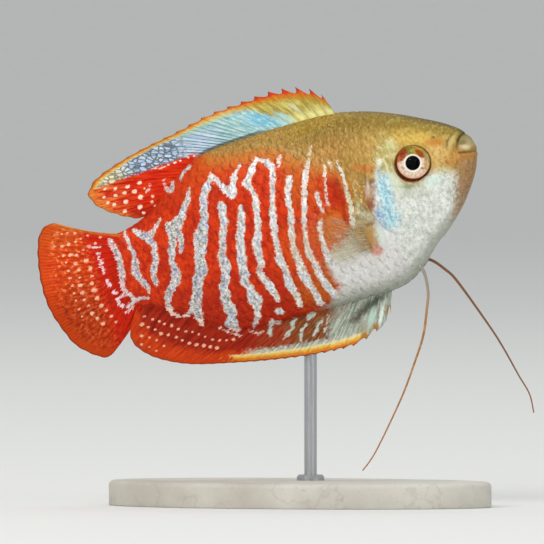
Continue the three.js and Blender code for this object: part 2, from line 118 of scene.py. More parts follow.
class Finish:
    """A procedural material of one Principled surface, and one method that adds any other node."""

    def __init__(self, name):
        self.material = bpy.data.materials.new(name)
        self.material.use_nodes = True
        self.tree = self.material.node_tree
        self.shader = self.tree.nodes["Principled BSDF"]

    def fill(self, node, sockets):
        """Links readings, paints colour codes, and sets any other value as it is."""
        for key, value in sockets.items():
            if isinstance(value, Reading):
                self.tree.links.new(value.socket, node.inputs[key])
            else:
                node.inputs[key].default_value = paint(value) if isinstance(value, str) else value

    def node(self, kind, settings=None, sockets=None, output=0):
        made = self.tree.nodes.new("ShaderNode" + kind)
        for key, value in (settings or {}).items():
            setattr(made, key, value)
        self.fill(made, sockets or {})
        return Reading(self, made.outputs[output])

    def surface(self, **sockets):
        self.fill(self.shader, {key.replace("_", " "): value for key, value in sockets.items()})
        return self.material

    def mix(self, share, below, above, blend="MIX"):
        colours = {0: share, 6: below, 7: above}
        return self.node("Mix", {"data_type": "RGBA", "blend_type": blend}, colours, 2)

    def coats(self, tone, rows):
        """Colours laid over one another, a row for each: its share from 0 to 1, or the seven
        measures of a patch and its share, and the colour."""
        for *patch, share, above in rows:
            if patch:
                share = self.patch(*patch) * share
            tone = self.mix(share, tone, above)
        return tone

    def noise(self, place, scale, detail=3.0, roughness=0.5):
        sockets = {"Vector": place, "Scale": scale, "Detail": detail, "Roughness": roughness}
        return self.node("TexNoise", {}, sockets)

    def bump(self, height, depth, strength=1.0):
        """A normal from a height of 0 to 1 and its depth in metres."""
        return self.node("Bump", {}, {"Strength": strength, "Distance": depth, "Height": height})

    def own(self, name):
        """A value kept on the piece's own mesh."""
        return self.node("Attribute", {"attribute_name": name}, {}, "Fac")

    def object_place(self):
        return self.node("TexCoord", {}, {}, "Object")


def as_mesh(made, name):
    """A form's finished mesh, with all its faces looking outward."""
    bmesh.ops.recalc_face_normals(made, faces=made.faces[:])
    mesh = bpy.data.meshes.new(name)
    made.to_mesh(mesh)
    made.free()
    return mesh


def turned(name, profile, steps):
    """A round form spun from its profile, (radius, height) of each corner, about the upright axis."""
    made = bmesh.new()
    corners = [made.verts.new((r, 0, z)) for r, z in profile]
    edges = [made.edges.new(pair) for pair in zip(corners, corners[1:])]
    bmesh.ops.spin(
        made, geom=corners + edges, cent=(0, 0, 0), axis=(0, 0, 1),
        angle=math.tau, steps=steps, use_merge=True, use_duplicate=False,
    )
    bmesh.ops.remove_doubles(made, verts=made.verts[:], dist=1e-5)
    return as_mesh(made, name)


floor_reach = 2.9  # metres to where the floor starts to rise
floor_curve = 2.0  # radius of the rise
floor_profile = [(0, 0), (0.3, 0), (1.0, 0)]
for i in range(17):
    turn = math.pi / 2 * i / 16
    rise = floor_curve * (1 - math.cos(turn))
    floor_profile.append((floor_reach + floor_curve * math.sin(turn), rise))
sweep_mesh = turned("studio_floor", floor_profile, 96)
sweep_mesh.shade_smooth()
studio_floor = bpy.data.objects.new("studio_floor", sweep_mesh)
bpy.context.collection.objects.link(studio_floor)
pale_paper = Finish("pale_paper")
grain = pale_paper.noise(pale_paper.object_place(), 400.0)
paper_tone = pale_paper.mix(grain, "e2e1de", "e8e7e4")
sweep_mesh.materials.append(pale_paper.surface(Base_Color=paper_tone, Roughness=0.9))

lamps = {
    # name: (place in metres, size, watts, colour)
    "front_lamp": ((-0.35, -1.1, 0.75), 0.9, 9, (1.0, 0.98, 0.95)),
    "right_lamp": ((1.2, -0.55, 0.5), 0.8, 3, (0.97, 0.99, 1.0)),
    "top_lamp": ((-0.2, 0.45, 1.5), 1.2, 6, (1.0, 1.0, 1.0)),
}
for name, (place, width, watts, colour) in lamps.items():
    lamp = bpy.data.lights.new(name, "AREA")
    lamp.energy, lamp.size, lamp.color = watts, width, colour
    held = bpy.data.objects.new(name, lamp)
    held.location = place
    held.rotation_euler = (aim - Vector(place)).to_track_quat("-Z", "Y").to_euler()
    bpy.context.collection.objects.link(held)
sky = bpy.data.worlds.new("pale_sky")
sky.use_nodes = True
sky.node_tree.nodes["Background"].inputs["Color"].default_value = (0.86, 0.9, 0.92, 1)
sky.node_tree.nodes["Background"].inputs["Strength"].default_value = 0.68
bpy.context.scene.world = sky
bpy.context.scene.view_settings.view_transform = "Standard"

# Skin
# One closed skin over head, body and tail stem. It is cast in one piece, with the lips, nostrils,
# eye sockets, cheek plate and gill covers in its surface, and painted under a clear wet coat.
# Millimetres in the fish's own frame: forward of the snout, to its left, and up. A station is the
# distance behind the snout.
pitch = math.radians(18.8)
snout = np.array([29, 0, 56.6])
stem_end = 60.6
coat_depth = 0.12  # of the skin under the scales
back_line = [
    (0, 0.9), (0.35, 1.95), (1, 3.0), (2, 4.05), (3, 4.85), (4.5, 5.9), (7, 7.35), (10, 9.0),
    (14, 10.85), (18, 12.2), (22, 13.1), (28, 13.6), (36, 13.9), (42, 13.8), (46, 12.8),
    (50, 10.5), (53, 8.2), (56, 6.85), (59, 6.2), (60.6, 6.1),
]
belly_line = [
    (0, -0.3), (0.35, -1.3), (1, -2.55), (2, -4.0), (3.5, -5.95), (5, -7.6), (8, -10.2),
    (11, -12.3), (14, -14.7), (17, -16.3), (20, -16.8), (26, -16.7), (32, -16.3), (38, -15.9),
    (43, -15.5), (47, -14.4), (51, -11.8), (55, -8.7), (58, -6.9), (60.6, -6.3),
]
side_line = [
    (0, 0.5), (0.35, 0.98), (1, 1.4), (2, 1.9), (4, 2.75), (7, 3.8), (11, 4.75), (16, 5.25),
    (22, 5.3), (30, 4.95), (38, 4.2), (46, 3.1), (52, 2.2), (57, 1.5), (60.6, 1.0),
]
wide_line = [(0, 0.3), (3, 0.2), (8, 0.4), (14, -1.2), (20, -2.6), (30, -1.8), (44, -0.8), (60.6, 0)]
back_full_line = [(0, 0.75), (5, 0.8), (14, 0.9), (26, 1.05), (45, 1.0), (60.6, 0.9)]
belly_full_line = [(0, 0.75), (6, 1.05), (12, 1.15), (20, 1.05), (44, 1.0), (60.6, 0.9)]


def along(pairs):
    """A smooth value along the body from a few (station, value) pairs."""
    at, value = np.array(pairs, float).T
    rise = np.append(value[1:], value[-1]) - np.insert(value[:-1], 0, value[0])
    run = np.append(at[1:], at[-1]) - np.insert(at[:-1], 0, at[0])
    slope = rise / run

    def read(station):
        i = np.clip(np.searchsorted(at, station) - 1, 0, len(at) - 2)
        span = at[i + 1] - at[i]
        chord = (value[i + 1] - value[i]) / span
        t = np.clip((station - at[i]) / span, 0, 1)
        bend = (1 - t) * (slope[i] - chord) - t * (slope[i + 1] - chord)
        return value[i] + (value[i + 1] - value[i]) * t + t * (1 - t) * span * bend

    return read


back, belly = along(back_line), along(belly_line)
side, wide = along(side_line), along(wide_line)
back_full, belly_full = along(back_full_line), along(belly_full_line)


def soft_step(value, low, high):
    t = np.clip((value - low) / (high - low), 0, 1)
    return t * t * (3 - 2 * t)


def section(station, turn):
    """Height and sideways place on the body; turn runs from the back down the left side."""
    rise, across = np.cos(turn), np.abs(np.sin(turn))
    edge = np.where(rise > 0, back(station), belly(station))
    full = np.where(rise > 0, back_full(station), belly_full(station))
    out = side(station) * across**full
    return wide(station) + np.abs(rise) * (edge - wide(station)), np.sign(np.sin(turn)) * out


def level_at(station, height):
    """1 at the back, 0 where the body is widest and -1 at the belly."""
    off = height - wide(station)
    return off / np.where(off > 0, back(station) - wide(station), wide(station) - belly(station))


def half_width(station, height):
    """Half the body's width at a station and height."""
    level = level_at(station, height)
    full = np.where(level > 0, back_full(station), belly_full(station))
    return side(station) * np.sqrt(1 - np.clip(np.abs(level), 0, 1) ** 2) ** full


def beside(station, height, a, b):
    """Distance from side-view places to a straight line, and the share of it up to there."""
    ds, dz = b[0] - a[0], b[1] - a[1]
    t = np.clip(((station - a[0]) * ds + (height - a[1]) * dz) / (ds * ds + dz * dz), 0, 1)
    return np.hypot(station - a[0] - t * ds, height - a[1] - t * dz), t


def beside_all(station, height, line):
    """The same for a line through several points."""
    best = np.full(np.shape(station), 1e9)
    share = np.zeros(np.shape(station))
    for i, (a, b) in enumerate(zip(line, line[1:])):
        far, t = beside(station, height, a, b)
        share = np.where(far < best, (i + t) / (len(line) - 1), share)
        best = np.minimum(far, best)
    return best, share


eye_at = (9.62, 0.85)
eye_radius = 2.8
mouth_corner = 2.75
gill_lift = 0.32
gill_edge_line = [
    (-14, 8), (-11, 10.4), (-9.9, 13.2), (-8.6, 15.9), (-6, 17.8), (-3.4, 18.4), (-0.7, 17.8),
    (3.2, 17.1), (7, 16.7), (11, 16.4), (15, 16.0),
]  # (height, station)
gill_edge = along(gill_edge_line)
lip_fold = [(0.5, 2.65), (1.15, 2.9), (1.75, 2.65), (2.2, 2.1), (2.45, 1.45), (2.6, 0.8)]
# Furrows: (depth, width, line on the side of the head)
furrows = [
    (0.20, 0.17, lip_fold),
    (0.09, 0.22, [(2.2, 3.6), (3.0, 3.2), (3.65, 2.5), (4.05, 1.6), (4.1, 0.8)]),
    (0.05, 0.24, [(13.1, 3.1), (13.7, 0.3), (13.5, -3.0), (12.3, -5.8), (10.1, -7.5), (7.6, -7.8)]),
    (0.05, 0.18, [(12.2, 4.4), (12.9, 2.4), (12.9, -0.4), (11.8, -2.6), (9.8, -3.4), (7.4, -3.0)]),
    (0.05, 0.2, [(2.9, -0.1), (3.6, -1.2), (4.6, -2.6), (6.0, -4.6)]),
    (0.07, 0.16, [(2.75, 0.2), (3.1, -0.3), (3.2, -0.8)]),
]
nostrils = [((5.5, 3.75), 0.17, 0.16), ((4.0, 3.9), 0.13, 0.12)]  # place, radius, depth
nostril_rim = 0.04
eye_rings = [(0.13, 3.05, 0.2), (-0.06, 3.5, 0.3)]  # rise, radius, width of the rim and the moat
fin_pad = (19.6, -8.0), (1.3, 2.4), 0.3  # under the breast fin: centre, half size, rise
upper_lip = (1.1, 1.1), (1.4, 1.25), 0.13  # centre, half size, swell
lower_lip, mouth_depth, socket_depth = 0.1, 0.14, 2.5


def from_eye(station, height):
    return np.hypot(station - eye_at[0], height - eye_at[1])


def mouth_line(station):
    return 0.08 * station + 0.04 * station**2 - 0.3


def gill_cover(station, height):
    """How far the gill cover stands out, and how far ahead of its rear edge a place is."""
    lift = gill_lift * soft_step(station, 11, 17) * soft_step(height, -11.0, -6.5)
    lift = lift * (1 - soft_step(height, 0.5, 5))
    return lift, gill_edge(height) - station


def relief(station, height):
    """Forms of the head that stand out of the smooth body, or sink into it."""
    lift, ahead = gill_cover(station, height)
    out = lift * soft_step(ahead, -0.15, 0.12)
    out -= 0.3 * lift * np.exp(-(((ahead + 0.4) / 0.25) ** 2))
    for rise, radius, width in eye_rings:
        out += rise * np.exp(-(((from_eye(station, height) - radius) / width) ** 2))
    (at, up), (half_long, half_tall), rise = fin_pad
    pad = np.hypot((station - at) / half_long, (height - up) / half_tall)
    return out + rise * (1 - soft_step(pad, 0.3, 1.3))


def face_detail(station, height):
    """Lips, mouth, furrows, nostrils and the socket of each eye."""
    share = np.clip(station / mouth_corner, 0, 1)
    mouth = mouth_line(station)
    out = np.zeros(np.shape(station))
    # The upper lip is a small dome under the fold of the snout, the lower lip a thin roll
    (at, up), (half_long, half_tall), swell = upper_lip
    dome = np.hypot((station - at) / half_long, (height - up - 0.1 * station) / half_tall)
    dome = np.sqrt(np.clip(1 - dome**2, 0, 1)) * soft_step(station, -0.1, 0.9)
    out += swell * dome * soft_step(height - mouth, 0, 0.2)
    off = (height - mouth + 0.5) / (0.42 * (1 - 0.4 * share))
    roll = (1 - soft_step(station, 2.2, 3.0)) * soft_step(station, -0.1, 0.7)
    out += lower_lip * roll * np.sqrt(np.clip(1 - off**2, 0, 1))
    groove = soft_step(np.abs(height - mouth), 0.2, 0.02) * (1 - soft_step(station, 2.3, 2.9))
    out -= mouth_depth * groove
    for depth, width, line in furrows:
        far, share = beside_all(station, height, line)
        out -= depth * np.exp(-((far / width) ** 2)) * (0.3 + 0.7 * np.sin(math.pi * share))
    for (at, up), radius, depth in nostrils:
        far = np.hypot(station - at, height - up)
        out -= depth * soft_step(far, radius * 1.3, radius * 0.5)
        out += nostril_rim * np.exp(-(((far - radius * 1.6) / 0.12) ** 2))
    socket = soft_step(from_eye(station, height), eye_radius - 0.04, eye_radius - 0.2)
    return out - socket_depth * socket


seam = 0.004  # millimetres within which the touching edges of a net are joined


def net(name, columns, rows, place):
    """A fine net of quads, each crossing set by place(u, v); touching edges are joined."""
    made = bmesh.new()
    bmesh.ops.create_grid(made, x_segments=columns, y_segments=rows, size=0.5)
    mesh = bpy.data.meshes.new(name)
    made.to_mesh(mesh)
    flat = points(mesh)
    placed, kept = place(flat[:, 0] + 0.5, flat[:, 1] + 0.5)
    set_points(mesh, np.stack(placed, axis=1))
    for key, values in kept.items():
        keep(mesh, key, values)
    made.clear()
    made.from_mesh(mesh)
    bmesh.ops.remove_doubles(made, verts=made.verts[:], dist=seam)
    bmesh.ops.recalc_face_normals(made, faces=made.faces[:])
    made.to_mesh(mesh)
    made.free()
    return mesh


def points(mesh, what="co"):
    values = np.empty(len(mesh.vertices) * 3)
    mesh.vertices.foreach_get(what, values)
    return values.reshape(-1, 3)


def set_points(mesh, values):
    mesh.vertices.foreach_set("co", np.ascontiguousarray(values).ravel())
    mesh.update()


def keep(mesh, key, values):
    """Keeps one number for each point of a mesh, for its finish to read."""
    mesh.attributes.new(key, "FLOAT", "POINT").data.foreach_set("value", np.asarray(values, "f"))


def mount(name, mesh, material, replaced=(), in_fish=True):
    """Sets a piece's mesh in its place in metres and fixes it to the model's one body."""
    if in_fish:
        x, y, z = points(mesh).T
        forward = x * math.cos(pitch) - z * math.sin(pitch)
        up = x * math.sin(pitch) + z * math.cos(pitch)
        set_points(mesh, (np.stack([forward, y, up], axis=1) + snout) * 0.001)  # millimetres to metres
    mesh.shade_smooth()
    mesh.materials.clear()
    mesh.materials.append(material)
    piece = bpy.data.objects.new(name, mesh)
    bpy.context.collection.objects.link(piece)
    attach(piece, "root")
    if replaced:
        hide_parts(*replaced)
    return piece


# Silver bars over the red, from head to tail: (station, height, half width) along each
bars = [
    [(21.2, 5, 0.28), (20.9, 2.4, 0.3), (21.1, 0, 0.34), (21.2, -2.4, 0.45), (21.8, -5.4, 0.5)],
    [(22.4, 5.4, 0.3), (22.3, 4.2, 0.22)],
    [(23.3, 5.4, 0.22), (23.9, 3.2, 0.26), (24.4, 1.2, 0.28), (24.7, -0.8, 0.25), (24.6, -1.6, 0.1)],
    [(25.9, 1.4, 0.3), (26, 0, 0.38), (25.8, -1.7, 0.3)],
    [(26.3, -2.6, 0.1), (27.2, -4, 0.3), (27.6, -8, 0.5), (27.2, -10, 0.7)],
    [(24.8, 8.8, 0.16), (25.7, 6.8, 0.3), (26.6, 5.2, 0.4), (27.4, 3.2, 0.38), (28.1, 1.2, 0.42),
     (28.7, -0.8, 0.45), (29.3, -2.4, 0.34), (29.9, -4.6, 0.38), (30.3, -6.6, 0.4), (30, -9, 0.45),
     (29.8, -11, 0.6), (29.6, -12.4, 0.5), (29, -14.6, 0.6)],
    [(30.2, 8.8, 0.14), (30.8, 7.3, 0.16)],
    [(29.4, 5.3, 0.4), (29.6, 4.5, 0.55), (30.2, 3.6, 0.5), (30.6, 2, 0.42), (31, 0, 0.4),
     (31.3, -1.4, 0.42), (31.8, -3, 0.4), (32.2, -5, 0.45), (32.5, -7, 0.5), (32.2, -9, 0.65),
     (32.4, -10.4, 0.8), (32.2, -11.8, 0.6), (31.8, -13, 0.5), (31.6, -15, 0.6)],
    [(33.8, 9.6, 0.35), (32.6, 8.9, 0.45), (32, 8, 0.45), (31.8, 7.2, 0.4), (32.1, 6, 0.45),
     (32.6, 4.8, 0.45), (33, 3.5, 0.45), (33.5, 2, 0.45), (33.9, 0.4, 0.45), (34.3, -1.4, 0.45),
     (34.7, -3.4, 0.48), (35, -5.2, 0.5), (35.2, -6.5, 0.6), (34.9, -8.2, 0.5), (35.1, -10, 0.55),
     (35.1, -11.2, 0.6), (34.8, -12.8, 0.5), (34.8, -14.2, 0.45)],
    [(34, 9.7, 0.35), (35, 8.6, 0.4), (35.8, 7.6, 0.45), (36.7, 6.6, 0.6), (36.2, 5.4, 0.45),
     (35.8, 4, 0.45), (36.2, 2.5, 0.48), (36.5, 0.5, 0.45), (36.9, -1, 0.5), (37.3, -2, 0.6),
     (38, -3.2, 0.7), (38.3, -5, 0.65), (38.3, -6.4, 0.4)],
    [(39.2, -7.1, 0.45), (39, -8, 0.5), (38.5, -9.3, 0.55), (38.1, -10.6, 0.6), (38, -12.2, 0.4)],
    [(38.6, -14.2, 0.45), (38.2, -14.3, 0.45)],
    [(38.6, 3.2, 0.45), (38.9, 2, 0.6), (39.5, 0.4, 0.6), (40.4, -1.5, 0.6), (41, -3.5, 0.75),
     (41.5, -5.5, 0.65), (41.6, -7, 0.75), (42, -8, 0.65), (41.4, -9.6, 0.5), (41.5, -11.1, 1.15),
     (41.6, -12.5, 0.5), (42.3, -14, 0.45), (43.4, -14.9, 0.3)],
    [(42, 9.6, 0.35), (41.2, 8.6, 0.38), (40.6, 7.3, 0.45), (39.8, 6, 0.55), (39.4, 5.4, 0.6),
     (38.8, 6.9, 0.5), (38.5, 7.9, 0.45), (37.6, 9, 0.35), (36.7, 10, 0.2)],
    [(41.7, 4.6, 0.5), (41.7, 4, 0.6), (42, 2, 0.6), (43, 0, 0.55), (43.4, -1.2, 0.5),
     (43.6, -2, 0.5), (44.2, -3, 0.7), (44.3, -5, 0.9), (44.9, -6.6, 0.55), (45.8, -7.6, 0.7),
     (45.8, -9, 0.8), (46, -10, 0.8), (46.1, -11.2, 0.95), (45.7, -12.4, 0.5), (46.7, -13.4, 1.1),
     (46.2, -14.6, 0.4)],
    [(42, 9.8, 0.35), (42.3, 9, 0.45), (43.2, 8.3, 0.5), (44.2, 7, 0.6), (44.8, 5, 0.6),
     (45.3, 3, 0.7), (46.6, 1, 1.2), (47.3, -1, 0.95), (48, -2, 0.8), (48.2, -4, 1.0),
     (49.6, -5.5, 0.85), (50, -7, 0.8), (51.3, -9, 1.0), (51.6, -11, 0.6), (51.5, -11.9, 0.3)],
    [(46.2, 8.9, 0.25), (46.7, 8, 0.35), (47, 7.2, 0.45), (48, 6, 0.5), (48.8, 5, 0.6),
     (49.8, 4.2, 0.95), (50.8, 3.9, 0.95), (51.6, 4.9, 0.3)],
    [(50.2, 3.4, 0.5), (49.9, 2.2, 0.45), (50, 1, 0.4), (50.7, -0.2, 0.3)],
    [(50.9, 3.6, 0.8), (51.4, 2.2, 0.55), (51.9, 1, 0.65), (52.3, -0.4, 0.45), (52.6, -1.3, 0.4),
     (52.5, -2.4, 0.6), (52.6, -3.3, 0.85), (53, -4.3, 0.7), (54.1, -5.1, 0.5), (55.1, -5.9, 0.55),
     (55.5, -6.9, 0.4), (55.8, -8, 0.45), (55.6, -8.8, 0.35), (54.6, -9.8, 0.2),
     (53.2, -9.8, 0.15), (52.3, -9.6, 0.35)],
    [(57.2, 5.6, 0.3), (56.2, 4.6, 0.5), (55.3, 4.1, 0.65), (54.7, 2.6, 0.45), (54.6, 2, 0.4),
     (55.1, 0, 0.45), (55.8, -1, 0.5), (56.2, -2, 0.45), (56.3, -3, 0.4), (56.4, -3.8, 0.2)],
    [(54.6, 3.8, 0.3), (53.6, 5, 0.22), (52.5, 5.8, 0.18)],
    [(59, 6, 0.2), (58.7, 4.5, 0.27), (58.5, 3, 0.27), (58.3, 1.8, 0.3), (58.6, 0.5, 0.55),
     (59, -0.6, 0.65), (58.8, -1.6, 0.5), (58.3, -2.6, 0.45), (58, -3.6, 0.4), (57.9, -4.4, 0.2)],
    # on the root of the tail fin: a comb-edged bar, a column of dashes and a hooked loop
    [(61.7, 5.3, 0.4), (61.2, 3.6, 0.5), (61, 2, 0.5), (61.3, 0.3, 0.55), (61.6, -1, 0.5),
     (61.9, -2.4, 0.4), (61.6, -3.3, 0.3)],
    [(60.8, -4.6, 0.2), (61.3, -3.6, 0.25), (62.3, -3.5, 0.2), (63.5, -3.9, 0.28),
     (63.3, -4.9, 0.25), (62.4, -5.5, 0.22), (61.2, -5.1, 0.25), (59.5, -5, 0.15), (58.4, -5.3, 0.1)],
    [(62.8, -6.2, 0.15), (61.2, -5.7, 0.15)],
    [(64.6, 5.2, 0.2), (63.4, 4.9, 0.15)],
    [(64.2, 4, 0.3), (64.3, 3.4, 0.2)],
    [(63.9, 2.9, 0.25), (64.4, 2.2, 0.3)],
    [(64.3, 1.6, 0.25), (64.2, 1, 0.25)],
    [(64.2, -0.6, 0.28), (63.9, -1.4, 0.28)],
    [(63.8, -2.4, 0.22), (63.4, -2.8, 0.22)],
    # where the back runs into the soft lobe of the dorsal fin
    [(45.3, 12.4, 0.16), (46.6, 11.7, 0.2), (47.1, 11.1, 0.24), (47.3, 10.6, 0.12)],
    [(50.2, 11.7, 0.2), (50.1, 10.4, 0.25), (49.6, 9.7, 0.28), (48.8, 9.8, 0.22), (48.8, 10.8, 0.25)],
    [(52.3, 12, 0.12), (53.5, 10.7, 0.15)],
    # over the root of the anal fin: slanted dashes
    [(49, -13.4, 0.14), (47.4, -14.8, 0.18), (46, -15.8, 0.12)],
    [(44.6, -15.4, 0.1), (43.4, -16.2, 0.14), (42.4, -16.2, 0.1)],
    [(39.3, -15.8, 0.16), (40.3, -15.4, 0.34), (40.9, -15.7, 0.3)],
    [(41.2, -16.1, 0.3), (41.4, -16.8, 0.36), (41.6, -17.2, 0.2)],
    [(36.8, -16.1, 0.25), (37.6, -16.5, 0.28)],
    [(37.4, -17.1, 0.2), (38.6, -17.7, 0.26), (39.6, -18.3, 0.15)],
    [(35.1, -17.2, 0.12), (36.3, -17.9, 0.22), (36.8, -18.8, 0.26), (37.1, -19.5, 0.2)],
    [(33.5, -16.2, 0.2), (34.3, -16.4, 0.38), (35, -16.8, 0.16)],
    [(32.6, -17.3, 0.15), (33.3, -17.9, 0.28), (34, -18.7, 0.26), (34.7, -19.4, 0.22)],
    [(31.5, -17.1, 0.1), (32.2, -18.3, 0.14), (33, -19.3, 0.12)],
]
# Outline of the red field of the flank, and of the pale cheek, breast and belly
red_field = [
    (21.5, 3.8), (22.5, 4.2), (24, 5.2), (26, 6.2), (28, 7.8), (30, 9.6), (33, 10.8), (36, 11.4),
    (40, 12.2), (43, 13.6), (46, 13.6), (50, 12), (53, 10), (56, 9), (60, 9), (64, 8), (64, -8),
    (61, -8.5), (55, -12), (51, -14.2), (47, -16.8), (43, -17.8), (38, -18), (33, -16.4),
    (30, -15.4), (28.5, -14.3), (27.6, -13.4), (28.4, -11.5), (28.6, -9.5), (27, -7.8),
    (25.5, -7.6), (24, -6.8), (22.6, -5.4), (21.9, -5), (21.6, -2), (21.5, 3.8),
]
pale_field = [
    (6.2, -8.6), (5.3, -6.7), (4.6, -5.2), (4.15, -4.0), (4.4, -2.8), (5.2, -2.0), (6.8, -1.6),
    (8.2, -2.0), (9.6, -2.8), (12, -2.3), (13, -0.8), (14, 0.4),
    (15.5, 0.6), (16.8, -1.5), (17.6, -4.5), (18.4, -7), (19.2, -9.6), (20.6, -10), (22, -8.6),
    (24, -8.8), (26.5, -9.2), (28, -10.4), (28.2, -13), (29.6, -15), (32, -15.9), (36, -16.8),
    (36, -22), (-6, -22), (6.2, -8.6),
]


def inside(station, height, outline):
    """Millimetres inside a closed outline, less than 0 outside it."""
    far, _ = beside_all(station, height, outline)
    within = np.zeros(np.shape(station), bool)
    for (s0, z0), (s1, z1) in zip(outline, outline[1:]):
        if z0 != z1:
            crosses = (height > min(z0, z1)) & (height <= max(z0, z1))
            within ^= crosses & (station < s0 + (height - z0) * (s1 - s0) / (z1 - z0))
    return np.where(within, far, -far)


def in_bars(station, height):
    """Millimetres inside the nearest silver bar, less than 0 outside it."""
    deep = np.full(np.shape(station), -9.0)
    for bar in bars:
        for a, b in zip(bar, bar[1:]):
            far, t = beside(station, height, a, b)
            deep = np.maximum(deep, a[2] + (b[2] - a[2]) * t - far)
    return deep


left_drift, left_sway = 0.45, 0.5  # how far the left side's bars stray, along the fish and up


def markings(mesh, station, height, left):
    """Keeps where a mesh lies in the fish's pattern. The left side's bars run a little otherwise."""
    s = station + np.where(left, left_drift * np.sin(0.5 * height + 0.2 * station), 0)
    z = height + np.where(left, left_sway * np.sin(0.35 * station + 1), 0)
    keep(mesh, "silver", in_bars(s, z))
    keep(mesh, "red", inside(s, z, red_field))
    keep(mesh, "pale", inside(station, height, pale_field))
    keep(mesh, "level", level_at(station, height))


patch_reach = 5.0  # a patch is measured out to so many of its radii


class FishFinish(Finish):
    """A finish that knows places in the fish's own frame, in millimetres."""

    def __init__(self, name):
        super().__init__(name)
        cos, sin = math.cos(pitch), math.sin(pitch)
        x, _, z = snout
        turned_back = self.node("Mapping", {}, {
            "Vector": self.object_place(),
            "Location": (-(cos * x + sin * z) / 1000, 0, (sin * x - cos * z) / 1000),
            "Rotation": (0, pitch, 0),
        })
        self.place = self.node("VectorMath", {"operation": "SCALE"}, {0: turned_back, "Scale": 1000})
        self.station = self.node("SeparateXYZ", {}, {0: self.place}, "X") * -1
        self.height = self.node("SeparateXYZ", {}, {0: self.place}, "Z")
        self.wobble = (self.noise(self.place, 1.6, 4.0, 0.6) - 0.5) * 2.5
        self.grain = (self.noise(self.place, 4.5, 3.0, 0.6) - 0.5) * 2.5

    def patch(self, station, height, length, tall, turn, soft, ragged=0.6):
        """1 inside an oval on the side of the fish and 0 outside it. It is given by its centre, its
        half length and half height, its turn in degrees, and how soft and ragged its edge is."""
        oval = self.node("Mapping", {"vector_type": "TEXTURE"}, {
            "Vector": self.place,
            "Location": (-station, 0, height),
            "Rotation": (0, math.radians(turn), 0),
            "Scale": (patch_reach * length, 1e6, patch_reach * tall),
        })
        near = self.node("TexGradient", {"gradient_type": "SPHERICAL"}, {"Vector": oval}, 1)
        near = near * patch_reach - (self.wobble + self.grain * 0.5) * ragged
        return near.step(patch_reach - 1 - soft, patch_reach - 1 + soft)


skin_paint = FishFinish("wet_scaled_skin")


